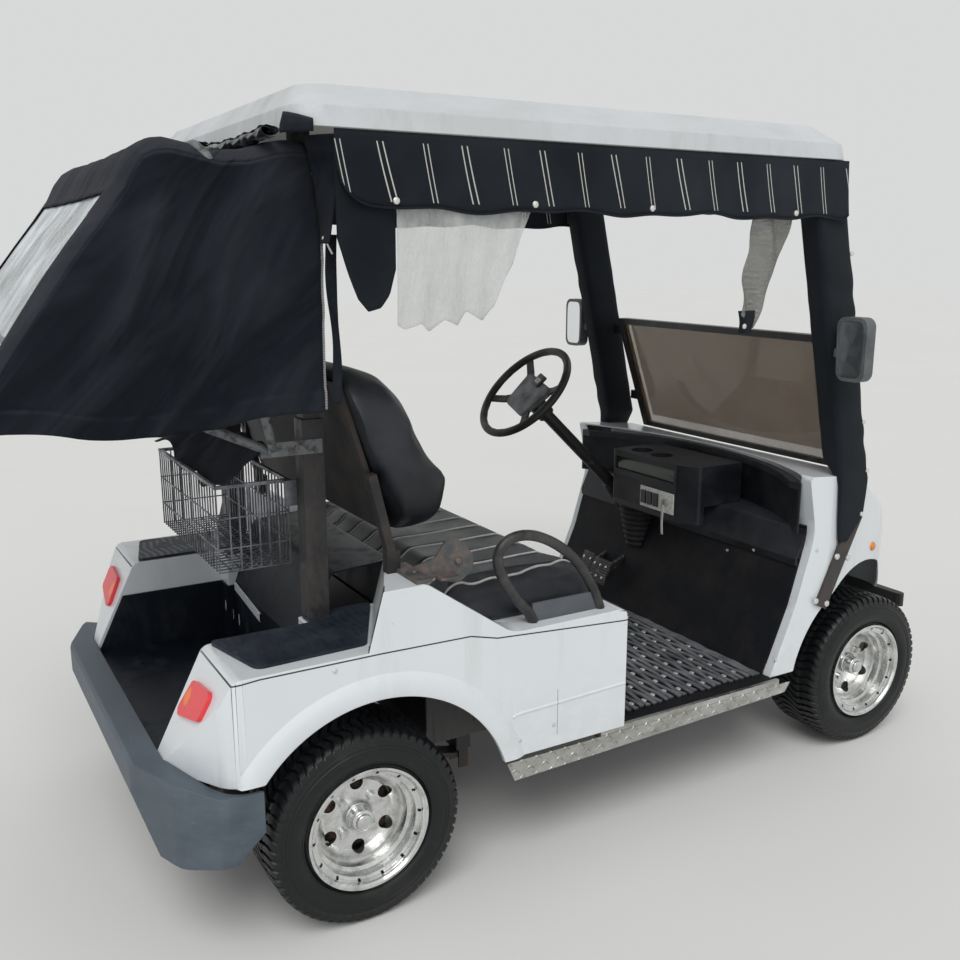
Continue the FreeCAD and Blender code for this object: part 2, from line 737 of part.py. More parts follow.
def bag_well():
    """Black bag well liner with a floor, three walls and the bulkhead above it."""
    wide = WELL_HALF_WIDTH - FIT
    front = WELL_FRONT_X - FIT
    floor_x = rear_slope_x(WELL_FLOOR_Z) + 8
    rows = [
        # x, z, corner
        (floor_x, WELL_FLOOR_Z - SKIN, 0),
        (rear_slope_x(LINER_TOP_Z) + 8, LINER_TOP_Z, 0),
        (front, LINER_TOP_Z, 0),
        (front, WELL_FLOOR_Z - SKIN, 0),
    ]
    shell = prism(rows, "xz", -wide, wide)
    shell = shell.cut(box(-500, front - SKIN, -wide + SKIN, wide - SKIN, WELL_FLOOR_Z, 900))
    shelf = box(WELL_SHELF_X - FIT, front + 1, -wide - 1, wide + 1, WELL_FLOOR_Z - 2 * SKIN, 900)
    shelf = shelf.cut(box(-500, 0, -INNER_DECK_Y + FIT, INNER_DECK_Y - FIT, 0, 900))
    shell = shell.cut(shelf)
    for side in (-1, 1):
        y0, y1 = sorted((side * (INNER_DECK_Y - FIT - SKIN), side * wide))
        shell = shell.fuse(box(WELL_SHELF_X - FIT - SKIN, WELL_SHELF_X - FIT, y0, y1,
                               WELL_FLOOR_Z - SKIN, LINER_TOP_Z))
        y0, y1 = sorted((side * (INNER_DECK_Y - FIT - SKIN), side * (INNER_DECK_Y - FIT)))
        shell = shell.fuse(box(WELL_SHELF_X - FIT - SKIN, front, y0, y1,
                               WELL_FLOOR_Z - SKIN, LINER_TOP_Z))
    back = SEAT_RECESS_X - SKIN - 2
    bulkhead_rows = [
        # x, z, corner
        (front - SKIN, LINER_TOP_Z - 30, 0),
        (front - SKIN, LINER_TOP_Z, 0),
        (40, 735, 20),
        (back, 745, 10),
        (back, 600, 0),
        (back - SKIN, 600, 0),
        (back - SKIN, 745 - SKIN, 8),
        (40 + 3, 735 - SKIN, 16),
        (front, LINER_TOP_Z - 2, 0),
        (front, LINER_TOP_Z - 30, 0),
    ]
    half = INNER_DECK_Y - FIT
    return joined([shell, prism(bulkhead_rows, "xz", -half, half)])


def step_pads():
    """Ribbed plastic pads on the two deck boxes, running in front of the well."""
    edge = 6.0
    hump_y = INNER_DECK_Y + edge
    rows = [
        # x, y, corner
        (-270, -WELL_HALF_WIDTH - edge, 10),
        (-226, -540, 24),
        (HUMP_FOOT_X - edge, -HUMP_FOOT_Y, 20),
        (HUMP_FOOT_X - edge + (HUMP_FOOT_Y - hump_y) * HUMP_DIAGONAL, -hump_y, 14),
        (WELL_SHELF_X + edge, -hump_y, 6),
        (WELL_SHELF_X + edge, -WELL_HALF_WIDTH - edge, 0),
    ]
    pad = prism(rows, "xy", DECK_Z + FIT, DECK_Z + PAD_THICKNESS)
    reach = REAR_STRUT_WIDTH / 2 + FIT
    notch = box(REAR_STRUT_X - reach, REAR_STRUT_X + reach, -REAR_STRUT_Y - reach,
                -REAR_STRUT_Y + reach, DECK_Z, DECK_Z + 2 * PAD_THICKNESS)
    return both(pad.cut(notch))


def on_rear_slope(shape):
    """Turn a shape drawn in the yz plane onto the sloping rear face."""
    slope = math.degrees(math.atan2(118, DECK_Z - REAR_BOTTOM_Z))
    shape.rotate(ORIGIN, Y_AXIS, slope)
    shape.translate(Vector(rear_slope_x(REAR_BOTTOM_Z), 0, REAR_BOTTOM_Z))
    return shape


def tail_lamps():
    """Rounded tail lamps on the sloping rear corners."""
    rows = [
        # y, distance up the slope, corner
        (-398, 200, 16),
        (-512, 212, 16),
        (-504, 146, 16),
        (-374, 112, 16),
    ]
    lamp = on_rear_slope(prism(rows, "yz", -10, -FIT))
    return both(lamp)


def bumper_plan(inset, front_x):
    """Plan outline of the rear bumper."""
    half = [
        # x, y, corner
        (-462 + inset, 380, 60),
        (-400 + inset, 540 - inset / 2, 60),
        (-320, 586 - inset, 40),
        (front_x, 586 - inset, 0),
    ]
    return half + [(x, -y, corner) for x, y, corner in reversed(half)]


def bumper_side(inset, front_x, low_z):
    """Side outline of the rear bumper, with the ridge under its top edge."""
    ridge_x, ridge_z = -475 + inset, 398
    top_z = 425 - inset
    lean = 0.3
    return [
        # x, z, corner
        (ridge_x, ridge_z, 0),
        (-455 + inset, top_z, 0),
        (-391, top_z, 0),
        (-330, 398 - inset, 30),
        (front_x, 392 - inset, 0),
        (front_x, 300 if inset == 0 else low_z, 0),
        (-300, low_z, 30 if inset == 0 else 0),
        (ridge_x + (ridge_z - low_z) * lean, low_z, 0),
    ]


def rear_bumper():
    """Grey plastic bumper that wraps round to the wheel arches, on two stays."""
    wall = 7.0
    tip_x = -236.0
    outer = prism(bumper_plan(0, tip_x), "xy", 200, 500).common(
        prism(bumper_side(0, tip_x, 240), "xz", -600, 600))
    inner = prism(bumper_plan(wall, tip_x + 50), "xy", 150, 500).common(
        prism(bumper_side(wall, tip_x + 50, 180), "xz", -600, 600))
    shell = outer.cut(inner)
    edge_x = rear_slope_x(425 - wall) - FIT
    opening = prism(rear_plan_rows(BODY_HALF_WIDTH + FIT), "xy", 150, 600)
    shell = shell.cut(opening.common(box(edge_x, 0, -600, 600, 150, 600)))
    stay_rows = [
        # x, z, corner
        (-451, 335, 0),
        (RAIL_REAR_X - FIT, 335, 0),
        (RAIL_REAR_X - FIT, 385, 0),
        (-457, 380, 0),
    ]
    reach = RAIL_WIDTH / 2 - 2
    stays = [prism(stay_rows, "xz", y - reach, y + reach) for y in (-RAIL_Y, RAIL_Y)]
    return joined([shell] + stays)


def cowl_side_rows():
    """Side outline of the front cowl."""
    return [
        # x, z, corner
        (1248, FLOOR_Z + FIT, 0),
        (1330, 493, 260),
        (1392, 700, 160),
        (1355, RIM_Z, 10),
        (SHIELD_BASE_X, SHIELD_BASE_Z, 60),
        (1870, 655, 200),
        (NOSE_X - 5, 545, 60),
        (NOSE_X - 5, COWL_BOTTOM_Z, 0),
        (1400, COWL_BOTTOM_Z, 0),
        (1340, FLOOR_Z + FIT, 0),
    ]


def cowl_plan_rows(inset):
    """Plan outline of the front cowl."""
    return [
        # x, y, corner
        (1200, -COWL_HALF_WIDTH + inset, 0),
        (1480, -COWL_HALF_WIDTH + inset, 200),
        (1780, -455 + inset, 200),
        (NOSE_X - 5 - inset, -310 + inset, 120),
        (NOSE_X - 5 - inset, 310 - inset, 120),
        (1780, 455 - inset, 200),
        (1480, COWL_HALF_WIDTH - inset, 200),
        (1200, COWL_HALF_WIDTH - inset, 0),
    ]


def cockpit_cutter(inset):
    """Space behind the bowed dash rim, open to the rear."""
    half_width = COCKPIT_HALF_WIDTH - inset
    rear_x, bow_x, low = COCKPIT_REAR_X - inset, COCKPIT_BOW_X - inset, FLOOR_Z + 6
    sides = [
        Vector(rear_x, half_width, low),
        Vector(1150, half_width, low),
        Vector(1150, -half_width, low),
        Vector(rear_x, -half_width, low),
    ]
    arc = Part.Arc(sides[3], Vector(bow_x, 0, low), sides[0])
    wire = Part.Wire([arc.toShape()] + Part.makePolygon(sides).Edges)
    return Part.Face(wire).extrude(Z_AXIS * 700)


def front_cowl():
    """White front cowl: hood, nose and side flanges round the footwell."""
    outer = prism(cowl_side_rows(), "xz", -550, 550)
    outer = outer.common(prism(cowl_plan_rows(0), "xy", 0, 1000))
    inner = inset_prism(cowl_side_rows(), "xz", -550, 550, SKIN)
    inner = inner.common(prism(cowl_plan_rows(SKIN), "xy", 0, 1000))
    shell = outer.cut(inner)
    shell = shell.cut(cockpit_cutter(0))
    shell = shell.cut(box(1150, 1425, -COCKPIT_HALF_WIDTH, COCKPIT_HALF_WIDTH, FLOOR_Z - 10, 720))
    under = box(1300, NOSE_X - 5 - SKIN, -420, 420, 200, COWL_BOTTOM_Z + 2 * SKIN)
    shell = shell.cut(under.common(prism(cowl_plan_rows(SKIN), "xy", 0, 1000)))
    arch = Part.makeCylinder(FRONT_ARCH_RADIUS, 1200, Vector(FRONT_X, -600, AXLE_Z), Y_AXIS)
    keep = box(1000, 2100, -205, 205, 0, 1000)
    return shell.cut(arch.cut(keep))


def front_bumper():
    """Black bumper strip under the nose, on the ends of the rails."""
    low, high = 342, COWL_BOTTOM_Z - FIT
    rows = [
        # x, y, corner
        (1962, -400, 0),
        (1975, -430, 10),
        (NOSE_X, -400, 20),
        (NOSE_X, 400, 20),
        (1975, 430, 10),
        (1962, 400, 0),
    ]
    foot = box(RAIL_FRONT_X + FIT, 1963, -195, 195, low, high)
    return joined([prism(rows, "xy", low, high), foot])


def headlamps():
    """Oval headlamps on the nose."""
    lens = [
        # y, z, corner
        (-270, 440, 30),
        (-270, 515, 30),
        (-150, 515, 30),
        (-150, 440, 30),
    ]
    return both(prism(lens, "yz", NOSE_X - 5 + FIT, NOSE_X))


def toe_rear_rows(shift):
    """Rear face of the toe board, from the floor up to the dash."""
    return [
        # x, z, corner
        (1240 + shift, FLOOR_Z - 1, 0),
        (1325 + shift, 493, 260),
        (1358 + shift, 604, 0),
    ]


def floor_pan():
    """Floor pan, seat riser and the toe board that rises under the dash."""
    half = COCKPIT_HALF_WIDTH - FIT
    plate = box(640, 1262, -FLOOR_HALF_WIDTH, FLOOR_HALF_WIDTH, RAIL_LOW_Z + RAIL_HEIGHT + FIT, FLOOR_Z)
    toe = prism(toe_rear_rows(0) + toe_rear_rows(7)[::-1], "xz", -half, half)
    riser = box(688, 694, -half, half, FLOOR_Z - 1, 596)
    return joined([plate, toe, riser])


def floor_mat():
    """Link mat on the floor between the seat and the toe board."""
    return box(735, 1236, -525, 505, FLOOR_Z + FIT, FLOOR_Z + 14)


def rocker_panels():
    """Diamond plate sills with slanted ends and a top flange over the floor edge."""
    face_rows = [
        # x, z, corner
        (383, 235, 0),
        (361, FLOOR_Z - 15, 0),
        (1304, FLOOR_Z - 15, 0),
        (1284, 258, 0),
    ]
    face = prism(face_rows, "xz", -568, -564)
    web = box(640, 1262, -566, -FLOOR_HALF_WIDTH - FIT, FLOOR_Z - 15, FLOOR_Z)
    return both(joined([face, web]))


def dash_face_rows(shift):
    """Rear face of the dash below its pocket."""
    return [
        # x, z, corner
        (1352 + shift, 605, 0),
        (1350 + shift, 625, 8),
        (1386 + shift, 706, 10),
    ]


def dash():
    """Black dashboard: lower shelf, open pocket, back wall and bowed rim."""
    wall, rim_wall = 5.0, 20.0
    half = COCKPIT_HALF_WIDTH - FIT
    shelf_rows = dash_face_rows(0) + [
        # x, z, corner
        (1520, 706, 0),
        (1520, 700, 0),
        (1392, 700, 8),
        (1358, 625, 6),
        (1362, 605, 0),
    ]
    shelf = prism(shelf_rows, "xz", -half, half)
    space = cockpit_cutter(FIT)
    zone = space.fuse(box(1300, 1420, -half, half, 600, 720))
    back_wall = space.cut(cockpit_cutter(FIT + wall)).common(box(1350, 1600, -half, half, 700, 826))
    rim_bar = space.cut(cockpit_cutter(FIT + rim_wall)).common(
        box(1350, 1600, -half, half, 826, 846))
    return joined([shelf.common(zone), back_wall, rim_bar])


def console():
    """Console in the middle of the dash, with two cup holders and a boot below."""
    rows = [
        # x, y, corner
        (1470, 222, 0),
        (1262, 222, 14),
        (1262, -104, 14),
        (1300, -168, 14),
        (1470, -168, 0),
    ]
    block = prism(rows, "xy", 650, 832)
    lower = box(1320, 1600, -400, 400, 600, 706 + FIT)
    block = block.cut(lower)
    for y in (150, 50):
        block = block.cut(Part.makeCylinder(CUP_RADIUS, CUP_DEPTH, Vector(1330, y, 832 - CUP_DEPTH)))
    slot = box(1255, 1268, -90, 200, 770, 812)
    return block.cut(slot)


def switch_plate():
    """White plate with three rocker switches and the key switch."""
    plate = box(1258, 1262 - FIT, -95, 65, 672, 738)
    return joined([plate] + [box(1252, 1259, y, y + 22, 684, 726) for y in (34, 4, -26)]
                  + [bar(Vector(1248, -62, 706), Vector(1259, -62, 706), 12)])


def pedals():
    """Two studded pedal plates on arms from the toe board."""
    rows = [
        # y, plate width, x of the plate
        (300, 60, 1215),
        (205, 90, 1200),
    ]
    ahead = [(1500, 604, 0), (1500, FLOOR_Z - 1, 0)]
    toe_board = prism(toe_rear_rows(-FIT) + ahead, "xz", 0, 400)
    shapes = []
    for y, width, x in rows:
        arm = flat_bar(Vector(x + 10, y, 400), Vector(x + 130, y, 456), 18, 14).cut(toe_board)
        pad = flat_bar(Vector(x - 12, y, 380), Vector(x + 26, y, 455), 8, width)
        shapes.append(joined([arm, pad]))
    return Part.makeCompound(shapes)


# Bench

def hinge_barrels(starts, length):
    """Hinge barrels of the seat lid at the given places across the cart."""
    z = SILL_Z + FIT + HINGE_RADIUS
    return [Part.makeCylinder(HINGE_RADIUS, length, Vector(HINGE_X, y, z), Y_AXIS) for y in starts]


def seat_cushion():
    """Bench cushion on its lid, with the moving barrels of the two hinges."""
    bottom = SILL_Z + FIT
    rows = [
        # x, z, corner
        (CUSHION_REAR_X, bottom, 14),
        (CUSHION_REAR_X, CUSHION_TOP_Z - 6, 34),
        (420, CUSHION_TOP_Z - 14, 0),
        (CUSHION_FRONT_X, CUSHION_TOP_Z - 2, 40),
        (CUSHION_FRONT_X, bottom, 12),
    ]
    half = CUSHION_HALF_WIDTH
    cushion = prism(rows, "xz", -half, half)
    barrels = hinge_barrels((-260, 200), 60)
    leaves = [box(CUSHION_FRONT_X - 30, HINGE_X, y, y + 60, bottom + 1, bottom + 5)
              for y in (-260, 200)]
    return joined([cushion] + barrels + leaves)


def seat_back():
    """Leaning seat back cushion with rounded ends."""
    rows = [
        # x, z, corner
        (12, 1236, 40),
        (150, 1215, 60),
        (206, 1070, 200),
        (258, 940, 80),
        (252, 824, 40),
        (140, 826, 30),
    ]
    half = BACK_HALF_WIDTH
    return prism(rows, "xz", -half, half)


def seat_back_x(z):
    """X of the rear face of the seat back at a height."""
    return 140 + (z - 826) * (12 - 140) / (1236 - 826)


def seat_frame():
    """Panel behind the back cushion, with two brackets that stand on the hump."""
    rows = [
        # x, z, corner
        (seat_back_x(860) - FIT, 860, 0),
        (seat_back_x(1200) - FIT, 1200, 0),
        (seat_back_x(1200) - 12, 1200, 0),
        (seat_back_x(860) - 12, 860, 0),
    ]
    shapes = [prism(rows, "xz", -430, 430)]
    for side in (-1, 1):
        y = side * 455
        shapes.append(box(106, 138, y - 12, y + 12, HUMP_Z + FIT, 822))
        top = Vector(seat_back_x(1000) - 10.4, y, 1000)
        shapes.append(flat_bar(Vector(120, y, 812), top, 20, 24))
        y0, y1 = sorted((side * 425, side * 467))
        shapes.append(box(seat_back_x(1000) - 12, seat_back_x(1000) - 6, y0, y1, 960, 1000))
    return joined(shapes)


def seat_hinges():
    """Fixed barrels and leaves of the two seat hinges, on the body's front flange."""
    shapes = []
    for y in (-199, 139):
        barrel = hinge_barrels((y,), 60)[0]
        leaf = box(HINGE_X - 4, HINGE_X + 11, y, y + 60, SILL_Z + FIT, SILL_Z + FIT + 4)
        shapes.append(joined([barrel, leaf]))
    return Part.makeCompound(shapes)


def hip_restraints():
    """Bent tube loops on the side panels, with a plate between their feet."""
    foot = SILL_Z + FIT
    y = -BODY_HALF_WIDTH + 40
    points = [
        Vector(470, y, foot - 30),
        Vector(378, y, 822),
        Vector(450, y, 836),
        Vector(600, y, 730),
        Vector(640, y, foot - 30),
    ]
    loop = tube(points, 13, 34).common(box(300, 700, y - 20, y + 20, foot, 900))
    plate = box(462, 632, y - 3, y + 3, foot, foot + 46)
    return both(joined([loop, plate]))


# Roof

def roof_ring(inset, z, back, front, half):
    """Rounded rectangle at a height, for the roof's loft."""
    rows = [
        # x, y, corner
        (back + inset, -half + inset, 60),
        (front - inset, -half + inset, 60),
        (front - inset, half - inset, 60),
        (back + inset, half - inset, 60),
    ]
    return outline(rows, "xy", z)


def roof_tray(inset):
    """Roof's outer form, or its hollow inset by the skin."""
    half = ROOF_HALF_WIDTH
    return Part.makeLoft([
        roof_ring(inset, ROOF_EDGE_Z, ROOF_REAR_X, ROOF_FRONT_X, half),
        roof_ring(inset, ROOF_EDGE_Z + 40 - inset / 2, ROOF_REAR_X + 6, ROOF_FRONT_X - 6, half - 6),
        roof_ring(inset, ROOF_TOP_Z - inset, ROOF_REAR_X + 44, ROOF_FRONT_X - 60, half - 62),
    ], True, True)


def roof():
    """Shallow moulded roof tray, open below."""
    return roof_tray(0).cut(roof_tray(SKIN))


def rear_strut(side):
    """Rear strut: square tube on the deck box, spliced to a thinner one."""
    x, y, half = REAR_STRUT_X, side * REAR_STRUT_Y, REAR_STRUT_WIDTH / 2
    upper = REAR_STRUT_UPPER / 2
    foot_z = DECK_Z + FIT
    top_z = ROOF_TOP_Z - SKIN - FIT
    lower = box(x - half, x + half, y - half, y + half, foot_z, STRUT_SPLICE_Z)
    post = box(x - upper, x + upper, y - upper, y + upper, STRUT_SPLICE_Z, top_z)
    return joined([lower, post])


def strut_point(side, z):
    """Point on the middle line of a front strut at a height."""
    top = Vector(STRUT_TOP_X, side * STRUT_TOP_Y, ROOF_TOP_Z)
    knee = Vector(KNEE_X, side * KNEE_Y, KNEE_Z)
    return top + (knee - top) * ((ROOF_TOP_Z - z) / (ROOF_TOP_Z - KNEE_Z))


def strut_tube(side, clearance=0.0):
    """Upper tube of one front strut, widened by a clearance."""
    return flat_bar(strut_point(side, ROOF_TOP_Z), strut_point(side, TUBE_FOOT_Z - clearance),
                    FRONT_STRUT_WIDTH + 2 * clearance, FRONT_STRUT_DEPTH + 2 * clearance)


def strut_leg(side, clearance=0.0):
    """Flat steel leg of one front strut, bent at the knee, on the cowl's side."""
    y = side * (COWL_HALF_WIDTH + FIT + LEG_THICKNESS / 2)
    splice = strut_point(side, TUBE_FOOT_Z + 30)
    points = [(splice.x, splice.z), (KNEE_X, KNEE_Z), (LEG_FOOT_X, LEG_FOOT_Z)]
    width, thickness = LEG_WIDTH + 2 * clearance, LEG_THICKNESS + 2 * clearance
    pieces = [flat_bar(Vector(x0, y, z0), Vector(x1, y, z1), width, thickness)
              for (x0, z0), (x1, z1) in zip(points, points[1:])]
    knee = Vector(KNEE_X, y - thickness / 2, KNEE_Z)
    return joined(pieces + [Part.makeCylinder(width / 2, thickness, knee, Y_AXIS)])


def front_strut(side):
    """Front strut: upper tube seated in the roof and the flat leg on the cowl's side."""
    above = box(1200, 1500, -600, 600, ROOF_EDGE_Z, ROOF_TOP_Z + 50).cut(roof_tray(SKIN + FIT))
    return joined([strut_tube(side).cut(above), strut_leg(side)])


def roof_struts():
    """The two rear and two front struts that carry the roof."""
    return Part.makeCompound([make(side) for make in (rear_strut, front_strut) for side in (-1, 1)])


def strut_sleeves():
    """Black fabric sleeves round the front struts."""
    rows = [
        # x, z, corner
        (1262, 1696, 0),
        (1392, 1696, 0),
        (1583, 850, 40),
        (1560, 704, 0),
        (1472, 656, 0),
        (1461, 850, 40),
    ]
    sleeve = prism(rows, "xz", -SLEEVE_OUTER_Y, -SLEEVE_INNER_Y)
    cowl = prism(cowl_plan_rows(-FIT), "xy", 0, 900).common(
        prism(cowl_side_rows(), "xz", -700, 700))
    below = box(1400, 1700, -SLEEVE_OUTER_Y - 1, -SLEEVE_INNER_Y + 1, 500, 795)
    for hole in (strut_tube(-1, FIT), strut_leg(-1, FIT), cowl, below):
        sleeve = sleeve.cut(hole)
    return both(sleeve)


def valance():
    """Side valances that hang under the roof's edge, with round lower corners."""
    rows = [
        # x, z, corner
        (-30, ROOF_EDGE_Z - FIT, 0),
        (ROOF_FRONT_X - 12, ROOF_EDGE_Z - FIT, 0),
        (ROOF_FRONT_X - 12, ROOF_EDGE_Z - VALANCE_DROP - 12, 20),
        (20, ROOF_EDGE_Z - VALANCE_DROP, 70),
        (-30, ROOF_EDGE_Z - 70, 30),
    ]
    return both(prism(rows, "xz", -ROOF_HALF_WIDTH, -ROOF_HALF_WIDTH + VALANCE_THICKNESS))


def side_curtain():
    """What is left of the right side curtain: flap, torn window, roll and strip."""
    hung_y = -ROOF_HALF_WIDTH + VALANCE_THICKNESS + FIT
    roll_radius = 22.0
    flap = [
        # x, z, corner
        (-30, 1690, 0),
        (85, 1690, 0),
        (98, 1400, 20),
        (38, 1356, 20),
        (-22, 1364, 10),
    ]
    window = [
        # x, z, corner
        (93, 1690, 0),
        (430, 1690, 0),
        (415, 1543, 10),
        (330, 1325, 10),
        (108, 1316, 10),
        (104, 1420, 10),
    ]
    strip = [
        # x, z, corner
        (1075, 1690, 0),
        (1230, 1690, 0),
        (1225, 1560, 20),
        (1130, 1290, 10),
        (1048, 1284, 10),
        (1080, 1500, 20),
    ]
    rows = [
        # outline, thickness
        (flap, 5),
        (window, 3),
        (strip, 12),
    ]
    shapes = [prism(piece, "xz", hung_y, hung_y + thickness) for piece, thickness in rows]
    roll_y = hung_y + roll_radius
    roll = bar(Vector(480, roll_y, 1580), Vector(1060, roll_y, 1580), roll_radius)
    tail = box(480, 1060, roll_y - 2, roll_y + 2, 1580, 1690)
    return Part.makeCompound(shapes + [joined([roll, tail])])


# Windshield

def shield_point(t, forward=0.0):
    """Point (x, z) on the lower pane: 0 at the base, 1 at the folding bar."""
    x = SHIELD_FOOT_X + (SHIELD_BAR_X - SHIELD_FOOT_X) * t + forward
    return x, SHIELD_FOOT_Z + (SHIELD_BAR_Z - SHIELD_FOOT_Z) * t


def windshield_panes():
    """Lower pane and the upper pane that is folded down in front of it."""
    shapes = []
    high = (SHIELD_BAR_Z - BAR_DROP - FIT - SHIELD_FOOT_Z) / (SHIELD_BAR_Z - SHIELD_FOOT_Z)
    for forward, low in ((0, 0.02), (26, 0.08)):
        x0, z0 = shield_point(low, forward)
        x1, z1 = shield_point(high, forward)
        t = SHIELD_THICKNESS
        rows = [(x0, z0, 0), (x1, z1, 0), (x1 + t, z1, 0), (x0 + t, z0, 0)]
        shapes.append(prism(rows, "xz", -SHIELD_HALF_WIDTH, SHIELD_HALF_WIDTH))
    return Part.makeCompound(shapes)


def windshield_frame():
    """Folding bar, base channel and the two side channels on the front struts."""
    x0, z0 = shield_point(0)
    reach = SHIELD_HALF_WIDTH + FIT
    outer = reach + 26
    base = box(x0 - 6, x0 + 12, -outer, outer, z0 - 9, z0 + 7)
    top = box(SHIELD_BAR_X - 4, SHIELD_BAR_X + 34, -outer, outer,
              SHIELD_BAR_Z - BAR_DROP, SHIELD_BAR_Z + 8)
    shapes = [base, top]
    for side in (-1, 1):
        y = side * (reach + 13)
        shapes.append(flat_bar(Vector(x0 + 3, y, z0), Vector(SHIELD_BAR_X + 3, y, SHIELD_BAR_Z),
                               22, 26))
        y0, y1 = sorted((side * (outer - 1), side * (SLEEVE_INNER_Y - FIT)))
        for z in (950, 1190):
            t = (z - SHIELD_FOOT_Z) / (SHIELD_BAR_Z - SHIELD_FOOT_Z)
            x, _ = shield_point(t)
            shapes.append(box(x - 12, x + 12, y0, y1, z, z + 30))
    return joined(shapes)


def mirrors():
    """Side mirrors on short arms from the sleeves of the front struts."""
    rows = [
        # y, z, corner
        (SLEEVE_OUTER_Y + 22, 1140, 26),
        (SLEEVE_OUTER_Y + 14, 1308, 26),
        (SLEEVE_OUTER_Y + 112, 1308, 26),
        (SLEEVE_OUTER_Y + 112, 1140, 26),
    ]
    head = prism(rows, "yz", 1378, 1412)
    arm = box(1390, 1404, SLEEVE_OUTER_Y + FIT, SLEEVE_OUTER_Y + 40, 1200, 1222)
    return both(joined([head, arm]))


# Bag cover

def cover_rows():
    """Side outline of the bag cover."""
    return [
        # x, z, corner
        (-46, COVER_BOTTOM_Z, 0),
        (-46, 1696, 0),
        (-112, 1696, 0),
        (-385, 1688, 90),
        (TAIL_X + 2, COVER_BOTTOM_Z + 60, 30),
        (TAIL_X, COVER_BOTTOM_Z, 0),
    ]


def cover_window_rows():
    """Outline of the clear rear window, across the cover and up its slope."""
    return [
        # y, distance up the slope, corner
        (-415, 60, 10),
        (-400, 430, 20),
        (400, 430, 20),
        (415, 60, 10),
    ]


def on_cover_slope(shape):
    """Turn a shape drawn in the yz plane onto the cover's rear slope."""
    foot = Vector(TAIL_X + 2, 0, COVER_BOTTOM_Z + 60)
    rise = Vector(-385, 0, 1688) - foot
    shape.rotate(ORIGIN, Y_AXIS, math.degrees(math.atan2(rise.x, rise.z)))
    shape.translate(foot)
    return shape


def bag_cover():
    """Fabric cover over the bag well, open below and in front."""
    half = COVER_HALF_WIDTH
    outer = prism(cover_rows(), "xz", -half, half)
    inner = inset_prism(cover_rows(), "xz", -half + COVER_SKIN, half - COVER_SKIN, COVER_SKIN)
    shell = outer.cut(inner)
    shell = shell.cut(box(-900, 0, -half + COVER_SKIN, half - COVER_SKIN,
                          COVER_BOTTOM_Z - 1, COVER_BOTTOM_Z + COVER_SKIN + 1))
    shell = shell.cut(box(-46 - COVER_SKIN - 1, 0, -half + COVER_SKIN, half - COVER_SKIN,
                          COVER_BOTTOM_Z - 1, 1696 - COVER_SKIN))
    window = on_cover_slope(prism(cover_window_rows(), "yz", -20, 20))
    return shell.cut(window)


def cover_window():
    """Clear vinyl window, sewn behind the opening in the cover's slope."""
    rows = [(y * 1.03, u + (8 if u > 200 else -8), c) for y, u, c in cover_window_rows()]
    sheet = prism(rows, "yz", COVER_SKIN + FIT, COVER_SKIN + FIT + WINDOW_SHEET)
    return on_cover_slope(sheet)


def cover_bows():
    """Two bent tube bows that hold the cover, on brackets at the rear struts."""
    pivot_x, pivot_z = -112.0, 1052.0
    under = COVER_SKIN + FIT + BOW_RADIUS
    half = COVER_HALF_WIDTH - under
    plate_y = REAR_STRUT_Y + REAR_STRUT_WIDTH / 2 + FIT
    slope = on_cover_slope(Part.Vertex(Vector(under + WINDOW_SHEET + FIT, 0, 130))).Point
    rows = [
        # top x, top z, pivot y
        (slope.x, slope.z, plate_y + 3 + BOW_RADIUS),
        (-262, 1687 - under, plate_y + 3 + 3 * BOW_RADIUS + FIT),
    ]
    shapes = []
    for x, z, y in rows:
        points = [Vector(pivot_x, -y, pivot_z), Vector(x + 16, -half, z - 24), Vector(x, -half + 30, z),
                  Vector(x, half - 30, z), Vector(x + 16, half, z - 24), Vector(pivot_x, y, pivot_z)]
        shapes.append(tube(points, BOW_RADIUS, 16))
    for side in (-1, 1):
        y0, y1 = sorted((side * plate_y, side * (plate_y + 3)))
        shapes.append(box(pivot_x - 18, REAR_STRUT_X + 20, y0, y1, pivot_z - 16, pivot_z + 16))
        shapes.append(bar(Vector(pivot_x, side * (plate_y + 1), pivot_z),
                          Vector(pivot_x, side * (plate_y + 4 * BOW_RADIUS + 8), pivot_z), 7))
    return joined(shapes)


